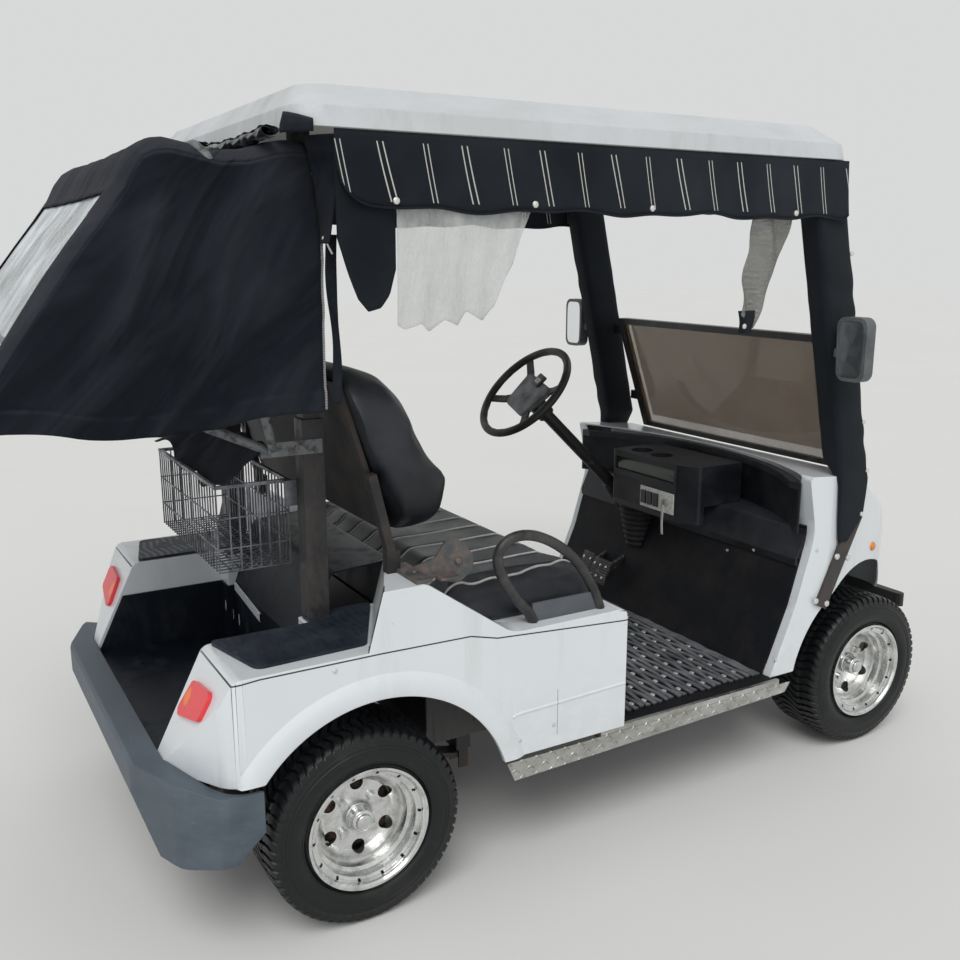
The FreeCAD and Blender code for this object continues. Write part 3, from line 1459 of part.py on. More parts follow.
def basket():
    """Wire basket behind the seat, hung from a flat rim."""
    x0, x1, half = -215.0, -42.0, 262.0
    z0, z1 = 765.0, 968.0
    wire = 3.0
    shapes = []
    rim_outer = box(x0, x1, -half, half, z1 - 8, z1)
    shapes.append(rim_outer.cut(box(x0 + 8, x1 - 8, -half + 8, half - 8, z1 - 9, z1 + 1)))
    for i in range(WIRE_COLUMNS):
        y = -half + 4 + i * (2 * half - 8) / (WIRE_COLUMNS - 1)
        shapes.append(box(x0 + 1, x0 + 1 + wire, y - wire / 2, y + wire / 2, z0, z1 - 4))
        shapes.append(box(x1 - 1 - wire, x1 - 1, y - wire / 2, y + wire / 2, z0, z1 - 4))
        shapes.append(box(x0 + 1, x1 - 1, y - wire / 2, y + wire / 2, z0, z0 + wire))
    for i in range(WIRE_ROWS):
        x = x0 + 30 + i * (x1 - x0 - 60) / (WIRE_ROWS - 1)
        shapes.append(box(x, x + wire, -half + 1, half - 1, z0, z0 + wire))
        for y in (-half + 1, half - 1 - wire):
            shapes.append(box(x, x + wire, y, y + wire, z0, z1 - 4))
    for z in (820, 890):
        ring = box(x0 + 1, x1 - 1, -half + 1, half - 1, z, z + wire)
        shapes.append(ring.cut(box(x0 + 1 + wire, x1 - 1 - wire, -half + 1 + wire,
                                   half - 1 - wire, z - 1, z + wire + 1)))
    for side in (-1, 1):
        seat_y = REAR_STRUT_Y - REAR_STRUT_WIDTH / 2 - FIT
        y0, y1 = sorted((side * (half - 4), side * seat_y))
        shapes.append(box(x1 - 18, x1, y0, y1, z1 - 8, z1))
        y0, y1 = sorted((side * (seat_y - 5), side * seat_y))
        shapes.append(box(x1 - 18, REAR_STRUT_X + 15, y0, y1, z1 - 60, z1))
    return joined(shapes)


# Steering

def column_axis():
    """Unit direction up the steering column."""
    angle = math.radians(COLUMN_SLOPE)
    return Vector(-math.cos(angle), 0, math.sin(angle))


def steering_column():
    """Steering column with its collar and the rubber boot on the dash."""
    foot = Vector(COLUMN_FOOT_X, COLUMN_Y, COLUMN_FOOT_Z)
    up = column_axis()
    length = WHEEL_HUB_DISTANCE - STEERING_DISH - 6
    below = 120.0
    shapes = [
        Part.makeCylinder(COLUMN_RADIUS, length + below, foot - up * below, up),
        Part.makeCylinder(COLUMN_RADIUS + 9, 70, foot + up * (length - 70), up),
        Part.makeCone(COLUMN_RADIUS + 26, COLUMN_RADIUS + 6, below + 10, foot - up * below, up),
    ]
    ahead = [(1600, 706, 0), (1600, 500, 0), (1352 - FIT, 500, 0)]
    dash_front = prism(dash_face_rows(-FIT) + ahead, "xz", 100, 400)
    return joined(shapes).cut(dash_front)


def steering_wheel():
    """Three-spoke steering wheel with a padded hub."""
    foot = Vector(COLUMN_FOOT_X, COLUMN_Y, COLUMN_FOOT_Z)
    up = column_axis()
    centre = foot + up * WHEEL_HUB_DISTANCE
    ring = Part.makeTorus(STEERING_WHEEL_RADIUS, STEERING_GRIP_RADIUS, centre, up)
    hub_foot = foot + up * (WHEEL_HUB_DISTANCE - STEERING_DISH - 5.7)
    hub = Part.makeCylinder(34, 40, hub_foot, up)
    shapes = [ring, hub]
    side = Y_AXIS
    ahead = up.cross(side)
    for degrees in (0, 180, 270):
        a = math.radians(degrees)
        out = side * math.cos(a) + ahead * math.sin(a)
        shapes.append(bar(hub_foot + up * 25 + out * 20, centre + out * STEERING_WHEEL_RADIUS, 9))
    return joined(shapes)


def export_all():
    """Write every node of the cart."""
    front_left = wheel_centre(FRONT_X, FRONT_TRACK, 1)
    rear_left = wheel_centre(0, REAR_TRACK, 1)
    for end, centre in (("rear", rear_left), ("front", front_left)):
        shapes = {"tyre": tyre(centre, 1), "rim": rim(centre, 1)}
        for name, shape in shapes.items():
            export("%s_%s_left" % (name, end), shape)
            export("%s_%s_right" % (name, end), mirrored(shape))
    for name, make, centre in (("drum", drum, rear_left), ("hub", front_hub, front_left)):
        shape = make(centre, 1)
        export(name + "_left", shape)
        export(name + "_right", mirrored(shape))
    export("frame_rails", frame_rails())
    export("leaf_springs", leaf_springs())
    export("rear_axle", rear_axle())
    export("motor", motor())
    export("front_axle", front_axle())
    export("knuckle_left", knuckle(1))
    export("knuckle_right", knuckle(-1))
    export("tie_rod", tie_rod())
    export("batteries", batteries())
    for make in (rear_body, bag_well, step_pads, tail_lamps, rear_bumper, front_cowl,
                 front_bumper, headlamps, floor_pan, floor_mat, rocker_panels, dash, console,
                 switch_plate, pedals, seat_cushion, seat_back, seat_frame, seat_hinges,
                 hip_restraints, roof, roof_struts, strut_sleeves, valance, side_curtain,
                 windshield_panes, windshield_frame, mirrors, bag_cover, cover_window,
                 cover_bows, basket, steering_column, steering_wheel):
        export(make.__name__, make())


os.makedirs("parts", exist_ok=True)
export_all()
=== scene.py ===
import math
import random
import bpy
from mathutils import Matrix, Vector
from mathutils.bvhtree import BVHTree


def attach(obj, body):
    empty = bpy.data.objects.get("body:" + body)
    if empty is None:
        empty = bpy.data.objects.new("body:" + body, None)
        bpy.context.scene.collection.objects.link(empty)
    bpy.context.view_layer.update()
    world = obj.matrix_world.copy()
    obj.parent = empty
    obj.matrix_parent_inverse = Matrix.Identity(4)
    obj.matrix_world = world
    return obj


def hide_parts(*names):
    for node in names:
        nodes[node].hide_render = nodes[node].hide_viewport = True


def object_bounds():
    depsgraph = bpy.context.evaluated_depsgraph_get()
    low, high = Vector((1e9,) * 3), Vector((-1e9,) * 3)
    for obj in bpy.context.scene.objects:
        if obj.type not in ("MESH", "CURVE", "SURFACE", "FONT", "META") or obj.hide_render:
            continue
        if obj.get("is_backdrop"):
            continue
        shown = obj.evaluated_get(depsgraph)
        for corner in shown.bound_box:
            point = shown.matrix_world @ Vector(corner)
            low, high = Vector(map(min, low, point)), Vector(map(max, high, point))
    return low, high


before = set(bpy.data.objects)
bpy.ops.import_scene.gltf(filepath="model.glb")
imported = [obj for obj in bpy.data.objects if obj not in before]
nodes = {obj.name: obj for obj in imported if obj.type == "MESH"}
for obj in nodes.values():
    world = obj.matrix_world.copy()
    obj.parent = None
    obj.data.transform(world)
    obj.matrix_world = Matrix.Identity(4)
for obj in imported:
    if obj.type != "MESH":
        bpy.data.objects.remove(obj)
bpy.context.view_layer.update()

# Camera
# It stands behind the cart and to its right at eye height, where the picture
# was taken, with the lens of a phone. The picture is square.
camera = bpy.data.objects.new("camera", bpy.data.cameras.new("camera"))
bpy.context.collection.objects.link(camera)
camera.data.sensor_width = 36.0
camera.data.lens = 38.02
camera.location = (-1.4513, -2.4413, 1.4727)
camera.rotation_euler = (math.radians(77.36), 0, math.radians(-30.247))
bpy.context.scene.camera = camera
bpy.context.scene.view_settings.view_transform = "Standard"


# Floor, backdrop and lamps
# A plain pale studio floor, an even pale sky and one broad soft lamp high
# behind the photographer. Finish is one procedural material, and Wire is one
# of its sockets, so that the maths of a surface is written as an expression.
class Wire:
    def __init__(self, finish, socket):
        self.finish = finish
        self.socket = socket

    def math(self, operation, *values):
        return self.finish.node("Math", {"operation": operation}, values)

    def __add__(self, other):
        return self.math("ADD", self, other)

    def __sub__(self, other):
        return self.math("SUBTRACT", self, other)

    def __rsub__(self, other):
        return self.math("SUBTRACT", other, self)

    def __mul__(self, other):
        return self.math("MULTIPLY", self, other)

    def __truediv__(self, other):
        return self.math("DIVIDE", self, other)

    def __gt__(self, other):
        return self.math("GREATER_THAN", self, other)

    def __lt__(self, other):
        return self.math("LESS_THAN", self, other)

    def __abs__(self):
        return self.math("ABSOLUTE", self)

    def sine(self):
        return self.math("SINE", self)

    def wrap(self, period):
        return self.math("WRAP", self, period, 0.0)

    def most(self, other):
        return self.math("MAXIMUM", self, other)

    def least(self, other):
        return self.math("MINIMUM", self, other)

    __radd__ = __add__
    __rmul__ = __mul__


class Finish:
    def __init__(self, name, color, roughness, metallic=0.0, **fixed):
        self.material = bpy.data.materials.new(name)
        self.material.use_nodes = True
        self.tree = self.material.node_tree
        self.shader = self.tree.nodes["Principled BSDF"]
        self.shader.inputs["Base Color"].default_value = (*color, 1.0)
        self.shader.inputs["Roughness"].default_value = roughness
        self.shader.inputs["Metallic"].default_value = metallic
        for key, value in fixed.items():
            self.shader.inputs[key.replace("_", " ")].default_value = value

    def node(self, kind, settings, values, out=0):
        added = self.tree.nodes.new("ShaderNode" + kind)
        for key, value in settings.items():
            setattr(added, key, value)
        named = values.items() if isinstance(values, dict) else enumerate(values)
        for key, value in named:
            if isinstance(value, Wire):
                self.tree.links.new(value.socket, added.inputs[key])
            elif value is not None:
                added.inputs[key].default_value = value
        return Wire(self, added.outputs[out])

    def parts(self, vector):
        first = self.node("SeparateXYZ", {}, [vector])
        return [Wire(self, socket) for socket in first.socket.node.outputs]

    def axes(self):
        return self.parts(self.node("TexCoord", {}, {}, "Object"))

    def faces(self):
        return self.parts(self.node("NewGeometry", {}, {}, "Normal"))

    def noise(self, scale, detail=3.0, roughness=0.5, stretch=(1.0, 1.0, 1.0)):
        point = self.node("TexCoord", {}, {}, "Object")
        point = self.node("VectorMath", {"operation": "MULTIPLY"}, [point, stretch])
        return self.node("TexNoise", {}, {"Vector": point, "Scale": scale, "Detail": detail,
                                          "Roughness": roughness}, "Fac")

    def ramp(self, value, low, high, start=0.0, end=1.0):
        return self.node("MapRange", {}, {"Value": value, "From Min": low, "From Max": high,
                                          "To Min": start, "To Max": end}, "Result")

    def mix(self, factor, first, second):
        pair = [c if isinstance(c, Wire) else (*c, 1.0) for c in (first, second)]
        return self.node("Mix", {"data_type": "RGBA"}, {0: factor, 6: pair[0], 7: pair[1]}, 2)

    def bump(self, height, distance):
        return self.node("Bump", {}, {"Height": height, "Distance": distance})

    def feed(self, **inputs):
        for key, wire in inputs.items():
            self.tree.links.new(wire.socket, self.shader.inputs[key.replace("_", " ")])

    def wear(self, patch, edges, first, second, rough=None, metal=None, grain=None, depth=0.0):
        """Patches of a second colour, which can change the gloss, over a fine grain."""
        worn = self.noise(*patch)
        if edges:
            worn = self.ramp(worn, *edges)
        self.feed(Base_Color=self.mix(worn, first, second))
        if rough:
            self.feed(Roughness=self.ramp(worn, 0.0, 1.0, *rough))
        if metal:
            self.feed(Metallic=self.ramp(worn, 0.0, 1.0, *metal))
        if grain:
            self.feed(Normal=self.bump(self.noise(*grain), depth))
        return worn


floor_paint = Finish("floor_paint", (0.78, 0.78, 0.77), 0.85)
floor_paint.wear((0.9,), None, (0.76, 0.76, 0.755), (0.80, 0.80, 0.79))
floor_mesh = bpy.data.meshes.new("floor")
reach = 30.0
floor_corners = [(-reach, -reach, 0), (reach, -reach, 0), (reach, reach, 0), (-reach, reach, 0)]
floor_mesh.from_pydata(floor_corners, [], [(0, 1, 2, 3)])
floor_mesh.materials.append(floor_paint.material)
floor = bpy.data.objects.new("floor", floor_mesh)
bpy.context.collection.objects.link(floor)
floor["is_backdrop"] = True

world = bpy.data.worlds.new("sky")
world.use_nodes = True
bpy.context.scene.world = world
sky = world.node_tree
path = sky.nodes.new("ShaderNodeLightPath")
shown = path.outputs["Is Camera Ray"]
for ray in ("Is Glossy Ray", "Is Transmission Ray"):
    either = sky.nodes.new("ShaderNodeMath")
    either.operation = "MAXIMUM"
    sky.links.new(shown, either.inputs[0])
    sky.links.new(path.outputs[ray], either.inputs[1])
    shown = either.outputs[0]
light_on_cart, light_seen = 0.52, 0.695
level = sky.nodes.new("ShaderNodeMapRange")
level.inputs["To Min"].default_value = light_on_cart
level.inputs["To Max"].default_value = light_seen
sky.links.new(shown, level.inputs["Value"])
sky.nodes["Background"].inputs["Color"].default_value = (0.988, 1.0, 0.994, 1.0)
sky.links.new(level.outputs["Result"], sky.nodes["Background"].inputs["Strength"])


def lamp(name, energy, angle, aim, color):
    sun = bpy.data.lights.new(name, "SUN")
    sun.energy = energy
    sun.angle = math.radians(angle)
    sun.color = color
    holder = bpy.data.objects.new(name, sun)
    holder.rotation_euler = Vector(aim).to_track_quat("-Z", "Y").to_euler()
    bpy.context.collection.objects.link(holder)


lamp("key", 1.35, 35, (0.42, 0.62, -1.0), (1.0, 0.985, 0.96))
lamp("fill", 0.35, 60, (0.3, 0.9, -0.15), (0.96, 0.98, 1.0))


# Tyres
# Low turf tyres of black rubber. The mould gives them wavy cross blocks with
# two grooves round the tread, and raised rings on the bulging sidewalls.
origin_ahead, front_axle_x = 645.0, 1664.0
left_right = ((1, "left"), (-1, "right"))


def at(x, y, z):
    """Place in the row's frame: mm ahead of the rear axle, to the left and up."""
    return Vector(((x - origin_ahead) / 1000, y / 1000, z / 1000))


def paint(finish, *names):
    for name in names:
        nodes[name].data.materials.clear()
        nodes[name].data.materials.append(finish.material)


def piece(name, points, faces, finish, body, sharp=40, thick=0.0, data=None):
    """A new visible piece; a sheet is made from its face and a thickness in m."""
    if data is None:
        data = bpy.data.meshes.new(name)
        data.from_pydata([tuple(p) for p in points], [], faces)
        data.validate()
    data.materials.append(finish.material)
    data.polygons.foreach_set("use_smooth", [True] * len(data.polygons))
    data.set_sharp_from_angle(angle=math.radians(sharp))
    made = bpy.data.objects.new(name, data)
    bpy.context.collection.objects.link(made)
    if thick:
        made.modifiers.new("thick", "SOLIDIFY").thickness = thick
    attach(made, body)
    return made


def grid(columns, rows, start=0, closed=False, flip=False, keep=None):
    """Faces over rows of points. A closed grid joins the two ends of each row."""
    faces = []
    for i in range(rows - 1):
        for k in range(columns if closed else columns - 1):
            if keep is None or keep(i, k):
                a, b = start + i * columns + k, start + i * columns + (k + 1) % columns
                face = (a, b, b + columns, a + columns)
                faces.append(face[::-1] if flip else face)
    return faces


rubber = Finish("tyre_rubber", (0.010, 0.011, 0.012), 0.5, Specular_IOR_Level=0.35)
rubber.wear((9.0, 5.0, 0.65), (0.52, 0.78), (0.006, 0.007, 0.008), (0.030, 0.030, 0.028),
            rough=(0.38, 0.7), grain=(420.0, 2.0), depth=0.0006)

tyre_radius, tread_pitches = 230.0, 60
groove_at, groove_depth = 43.0, 4.0
shoulder_at, tread_depth, shoulder_depth = 97.0, 5.5, 2.5
tyre_side = [
    # distance from the middle, radius
    (87.7, 127.3), (88.0, 147.0), (90.5, 149.5), (94.0, 152.0), (96.5, 153.5), (96.6, 156.0),
    (98.6, 158.0), (101.0, 165.0), (102.3, 172.0), (102.4, 184.0), (101.6, 187.0),
    (102.4, 188.0), (102.4, 191.0), (101.2, 192.5), (100.6, 196.5), (101.4, 197.5),
    (101.2, 200.0), (99.6, 203.0),
]
tyre_tread = [
    (98.4, 208.0), (97.4, 214.0), (94.8, 221.0), (89.0, 226.0), (80.0, 228.4), (66.0, 229.2),
    (52.0, 229.6), (43.0, 229.8), (34.0, 229.9), (22.0, 230.0), (8.0, 230.0),
]
# share of one pitch, and whether the block is cut away there
tread_steps = ((0.0, 0), (0.62, 0), (0.70, 1), (0.93, 1))
tyre_half = [(s, r, False) for s, r in tyre_side] + [(s, r, True) for s, r in tyre_tread]
tyre_rows = tyre_half + [(-s, r, tread) for s, r, tread in reversed(tyre_half)]


def tyre_points(axle_x, wheel_y, outward):
    points = []
    for s, r, tread in tyre_rows:
        wave = 0.5 * math.sin(s / 17.0) + 0.011 * abs(s) if tread else 0.0
        depth = 0.0
        if tread:
            depth = tread_depth if abs(s) < shoulder_at else shoulder_depth
        groove = groove_depth if tread and abs(abs(s) - groove_at) < 1 else 0.0
        for k in range(tread_pitches):
            for step, cut in tread_steps:
                angle = 2 * math.pi * (k + step + wave) / tread_pitches
                radius = r - depth * cut - groove
                points.append(at(axle_x + radius * math.cos(angle), wheel_y + outward * s,
                                 tyre_radius + radius * math.sin(angle)))
    return points


for end, axle_x, wheel_y in (("rear", 0.0, 480.0), ("front", front_axle_x, 440.0)):
    for side, name in left_right:
        place = end + "_" + name
        tyre = piece("turf_tyre_" + place, tyre_points(axle_x, side * wheel_y, side),
                     grid(tread_pitches * len(tread_steps), len(tyre_rows), closed=True,
                          flip=side < 0),
                     rubber, "wheel_" + place, 28)
        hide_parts("tyre_" + place)


# Rims, drums and hubs
# Polished aluminium wheels with a stepped dish, six round windows, four lug
# nuts and a centre cap. Brake drums and hubs behind them are rusty cast iron.
polish = Finish("polished_rim", (0.74, 0.74, 0.72), 0.2, 1.0)
x, y, z = polish.axes()
rear = x + 0.645
front = x - 1.019
up = z - 0.23
reach_squared = (rear * rear).least(front * front) + up * up
reach = polish.node("Math", {"operation": "SQRT"}, [reach_squared])
turn = polish.node("Math", {"operation": "ARCTAN2"}, [up, polish.node(
    "Mix", {}, {0: x > 0.2, 2: rear, 3: front})])
marks_round = 14 / (2 * math.pi)
dashes = ((turn * marks_round).wrap(1.0) < 0.12) * (reach > 0.1235) * (reach < 0.1315)
tarnish = polish.ramp(polish.noise(26.0, 6.0, 0.7), 0.45, 0.8)
grime = (tarnish + polish.ramp(abs(reach - 0.0965), 0.0, 0.011, 0.7, 0.0)
         + polish.ramp(abs(reach - 0.0335), 0.0, 0.006, 0.6, 0.0)).least(1.0)
bright = polish.mix(grime * 0.75, (0.74, 0.75, 0.74), (0.17, 0.165, 0.15))
polish.feed(Base_Color=polish.mix(dashes, bright, (0.02, 0.02, 0.02)),
            Roughness=polish.ramp(grime, 0.0, 1.0, 0.16, 0.5),
            Normal=polish.bump(polish.noise(900.0, 1.0, stretch=(0.2, 1.0, 0.2)), 0.0002))
paint(polish, "rim_rear_left", "rim_rear_right", "rim_front_left", "rim_front_right")

iron = Finish("cast_steel", (0.06, 0.05, 0.045), 0.7, 0.5)
iron.wear((30.0, 6.0, 0.65), (0.42, 0.62), (0.018, 0.017, 0.017), (0.065, 0.030, 0.018),
          metal=(0.7, 0.05), grain=(160.0, 4.0), depth=0.0012)
paint(iron, "drum_left", "drum_right", "hub_left", "hub_right", "knuckle_left", "knuckle_right",
      "tie_rod", "front_axle")


# Frame, springs, rear axle and motor
# Welded steel rails with leaf springs, a cast axle and a drive motor. The black paint is chipped
# and rusty. Grey battery boxes stand between the rails, and the gaps between them are painted
# near-black as shade.
black_steel = Finish("frame_paint", (0.02, 0.02, 0.02), 0.55)
rust = black_steel.wear((14.0, 7.0, 0.7), (0.5, 0.66), (0.016, 0.016, 0.017), (0.11, 0.05, 0.026),
                        rough=(0.45, 0.9))
black_steel.feed(Normal=black_steel.bump(black_steel.noise(120.0, 4.0) + rust, 0.0008))
paint(black_steel, "frame_rails", "leaf_springs", "rear_axle", "motor")

case_plastic = Finish("battery_plastic", (0.05, 0.05, 0.055), 0.5)
x, y, z = case_plastic.axes()
ribs = (x * 260.0).sine() * (abs(y) > 0.385)
battery_pitch = 0.1335
# The gaps between the battery boxes are dented by the bump and painted near-black as shade.
shaded_gaps = (((x + 0.409) / battery_pitch).wrap(1.0) < 0.03).most(abs(y) < 0.002) * (z > 0.32)
greys = case_plastic.mix(case_plastic.noise(5.0, 4.0), (0.035, 0.036, 0.04), (0.075, 0.072, 0.068))
case_plastic.feed(Base_Color=case_plastic.mix(shaded_gaps, greys, (0.004, 0.004, 0.004)),
                  Normal=case_plastic.bump(ribs * 0.5 - shaded_gaps, 0.003))
paint(case_plastic, "batteries")


# Rear body
# Glossy off-white moulded plastic, thick and soft at its edges. A thin groove runs round it under
# the deck, its dark line painted shade, and it carries the dust of the road. The inward-facing
# skins of its sides are painted dark as shade.
white = Finish("white_body", (0.75, 0.78, 0.81), 0.26, Coat_Weight=0.25, Coat_Roughness=0.12)
x, y, z = white.axes()
nx, ny, nz = white.faces()
# Inward-facing skins of the side panels, painted dark as shade.
inner_skin_shade = (abs(y) > 0.535) * ((y * ny) < -0.01)


def chain(finish, along, up, rows):
    """Distance in height from a line that runs through rows (along, up)."""
    level = None
    for (x0, z0), (x1, z1) in zip(rows, rows[1:]):
        run = finish.ramp(along, x0, x1, 0.0, z1 - z0)
        level = run + rows[0][1] if level is None else level + run
    return abs(up - level)


groove_rows = [(-0.95, 0.628), (-0.877, 0.634), (-0.607, 0.634), (-0.386, 0.630),
               (-0.316, 0.612), (0.048, 0.586)]
# The groove is dented by the bump and painted dark: its dark line is painted shade.
groove = (chain(white, x, z, groove_rows) < 0.0016) * (abs(y) > 0.35) * (x < 0.0615)
groove = groove * ((abs(y) > 0.5735).most(x < -0.905))
seam = (abs(x + 0.146) < 0.0008) * (z > 0.33) * (z < 0.448) * (abs(y) > 0.57)
mottle = white.noise(3.2, 4.0)
streaks = white.ramp(white.noise(9.0, 5.0, 0.62, (1.0, 1.0, 0.12)), 0.56, 0.82, 0.0, 0.35)
splash = white.ramp(z, 0.25, 0.52, 0.30, 0.0) * white.ramp(white.noise(30.0, 6.0, 0.7), 0.40, 0.75)
scuffs = white.ramp(white.noise(60.0, 3.0, stretch=(1.0, 1.0, 3.0)), 0.70, 0.74, 0.0, 0.4)
scuffs = scuffs * white.ramp(white.noise(2.4, 2.0), 0.52, 0.62)
dirt = (streaks + splash + scuffs).least(0.6)
tone = white.mix(mottle, (0.71, 0.755, 0.79), (0.775, 0.81, 0.84))
tone = white.mix(dirt, tone, (0.40, 0.385, 0.35))
tone = white.mix(inner_skin_shade, tone, (0.045, 0.046, 0.05))
white.feed(Base_Color=white.mix(groove.most(seam * 0.75), tone, (0.03, 0.03, 0.032)),
           Roughness=white.ramp(dirt, 0.0, 0.6, 0.2, 0.6),
           Normal=white.bump(white.noise(420.0, 2.0) * 0.12 + groove * -1.0, 0.0012))
paint(white, "rear_body", "front_cowl")


def rounded_edges(node, width, least):
    """Take the sharpness off a moulding's edges, once its faces are joined."""
    nodes[node].modifiers.new("joined", "WELD").merge_threshold = 0.00002
    soft = nodes[node].modifiers.new("rounded", "BEVEL")
    soft.width, soft.segments, soft.limit_method = width, 3, "ANGLE"
    soft.angle_limit = math.radians(least)
    soft.use_clamp_overlap, soft.harden_normals = False, True


rounded_edges("rear_body", 0.0022, 40)
rounded_edges("front_cowl", 0.0022, 40)


def dome(points, faces, centre, normal, radius, height, sides=8):
    """Add a rivet or screw head to a joined mesh."""
    normal = Vector(normal).normalized()
    u = normal.orthogonal().normalized()
    v = normal.cross(u)
    start = len(points)
    for scale, rise in ((1.0, 0.0), (0.92, 0.55), (0.55, 0.92)):
        for k in range(sides):
            angle = 2 * math.pi * k / sides
            points.append(centre + (u * math.cos(angle) + v * math.sin(angle)) * radius * scale
                          + normal * height * rise)
    points.append(centre + normal * height)
    faces.extend(grid(sides, 3, start, closed=True))
    rim = start + 2 * sides
    faces.extend((rim + k, rim + (k + 1) % sides, rim + sides) for k in range(sides))


def tube_mesh(points, faces, path, radius, sides=6):
    """Add a round tube along a path to a joined mesh."""
    start = len(points)
    for i, spot in enumerate(path):
        ahead = path[min(i + 1, len(path) - 1)] - path[max(i - 1, 0)]
        across = ahead.cross(Vector((0.13, 0.2, 0.97))).normalized()
        over = across.cross(ahead).normalized()
        for k in range(sides):
            angle = 2 * math.pi * k / sides
            points.append(spot + across * (radius * math.cos(angle))
                          + over * (radius * math.sin(angle)))
    faces.extend(grid(sides, len(path), start, closed=True))
    faces.append(tuple(range(start, start + sides))[::-1])
    faces.append(tuple(range(len(points) - sides, len(points))))


# Arch lips and side mouldings
# The skin turns out into a soft lip round each rear arch. A thin moulded
# ridge crosses the lower side, and steel screws hold the panel to the frame.
body_half, corner_x, corner_slope = 575.0, -283.0, 1.79


def side_half(x):
    """Half width of the body's side, which draws in at the rear corner."""
    return body_half if x > corner_x else max(360.0, body_half - (corner_x - x) * corner_slope)


arch_x, arch_z, arch_radius, arch_steps = 30.0, 200.0, 334.0, 72
front_foot, rear_foot = 100.6, 205.6
lip_profile = [
    # reach past the arch, rise off the side
    (-1.5, -4.0), (-1.5, 8.0), (2.0, 9.5), (24.0, 9.5),
    (33.0, 8.6), (40.0, 6.4), (47.0, 3.4), (54.0, -0.5),
]
for side, name in left_right:
    points = []
    for i in range(arch_steps + 1):
        for reach, rise in lip_profile:
            radius = arch_radius + reach
            first, last = math.asin(front_foot / radius), math.pi - math.asin(rear_foot / radius)
            angle = first + (last - first) * i / arch_steps
            x, z = arch_x + radius * math.cos(angle), arch_z + radius * math.sin(angle)
            points.append(at(x, side * (side_half(x) + rise), z))
    piece("arch_lip_" + name, points, grid(len(lip_profile), arch_steps + 1, flip=side > 0),
          white, "chassis", 60)

ridge_spots = ((372, 404), (381, 409), (400, 410.5), (560, 415), (704, 419))
screw_spots = ((488, 575, 359), (391, 575, 341), (-69.4, 575, 618), (1400, 545, 653),
               (1265, 545, 353))
points, faces, heads, head_faces = [], [], [], []
for side in (-1, 1):
    tube_mesh(points, faces, [at(x, side * 572.8, z) for x, z in ridge_spots], 0.0048, 10)
    for x, y, z in screw_spots:
        dome(heads, head_faces, at(x, side * y, z), (0, side, 0), 0.0058, 0.003, 12)
piece("side_ridges", points, faces, white, "chassis")
rivet_steel = Finish("rivet_steel", (0.72, 0.72, 0.70), 0.35, 0.85)
rivet_steel.feed(Roughness=rivet_steel.ramp(rivet_steel.noise(300.0), 0.3, 0.7, 0.2, 0.55))
piece("body_screws", heads, head_faces, rivet_steel, "chassis")

# Bag well
# Navy-black moulded plastic, dull and scratched where bags have stood. Three white ovals are
# painted light, where light shows through slots in its front wall, and a white strip shows where
# the body's skin comes through.
liner = Finish("liner_black", (0.008, 0.011, 0.017), 0.5, Specular_IOR_Level=0.25)
liner.wear((16.0, 6.0, 0.7, (1.0, 1.0, 0.5)), (0.5, 0.75), (0.006, 0.009, 0.015),
           (0.020, 0.025, 0.034), rough=(0.38, 0.7), grain=(700.0, 2.0), depth=0.0005)
paint(liner, "bag_well")

trim_white = Finish("well_trim", (0.70, 0.73, 0.76), 0.35)
trim_white.wear((30.0, 5.0, 0.7), None, (0.50, 0.52, 0.54), (0.74, 0.77, 0.80))
points, faces = [], []
# The three white ovals are painted light, where light shows through slots in the well's front wall.
oval_sides, oval_half_width, oval_half_height = 24, 5.6, 17.0
for x, y, z in ((-49.0, 299, 489), (-34.5, 279.7, 466), (-27.0, 250, 458)):
    faces.append(tuple(range(len(points), len(points) + oval_sides)))
    for k in range(oval_sides):
        angle = 2 * math.pi * k / oval_sides
        points.append(at(x, y + oval_half_width * math.cos(angle),
                         z + oval_half_height * math.sin(angle)))
faces += grid(4, 13, len(points))
for i in range(13):
    y, z = 271.0 - 218.0 * i / 12, 552.0 - 26.5 * i / 12
    for rise, x in ((-12.5, -26.0), (-11.0, -29.0), (11.0, -29.0), (12.5, -26.0)):
        points.append(at(x, y, z + rise))
piece("well_trim", points, faces, trim_white, "chassis")

# Step pads
# Blue-black rubbery plastic with wavy ribs across, faded by the sun and grey
# with dust between the ribs.
pad = Finish("pad_black", (0.016, 0.022, 0.032), 0.6, Specular_IOR_Level=0.3)
x, y, z = pad.axes()
worn = pad.ramp(pad.noise(13.0, 2.0), 0.42, 0.5)
rib = ((x * 330.0 + (y * 46.0).sine() * 1.6).sine() > 0.1) * worn
pad.wear((8.0, 5.0, 0.65), (0.35, 0.75), (0.009, 0.014, 0.022), (0.040, 0.050, 0.068))
pad.feed(Roughness=pad.ramp(rib, 0.0, 1.0, 0.62, 0.45),
         Normal=pad.bump(rib + pad.noise(500.0, 2.0) * 0.1, 0.0025))
paint(pad, "step_pads")

# Tail lamps
# Red plastic lenses with an orange turn signal at the inner upper corner and
# fine facets behind the face.
lens = Finish("lamp_red", (0.88, 0.05, 0.06), 0.3, Specular_IOR_Level=0.25,
              Coat_Weight=0.25, Coat_Roughness=0.08)
x, y, z = lens.axes()
spot_y = (abs(y) - 0.408) / 0.014
spot_z = (z - 0.556) / 0.017
spot = lens.ramp(spot_y * spot_y + spot_z * spot_z, 1.35, 0.6)
facets = ((y * 900.0).sine() + (z * 900.0).sine()) * 0.5
reds = lens.mix(lens.noise(14.0), (0.82, 0.045, 0.060), (0.92, 0.075, 0.085))
lens.feed(Base_Color=lens.mix(spot, reds, (0.95, 0.22, 0.02)), Normal=lens.bump(facets, 0.0003))
paint(lens, "tail_lamps")

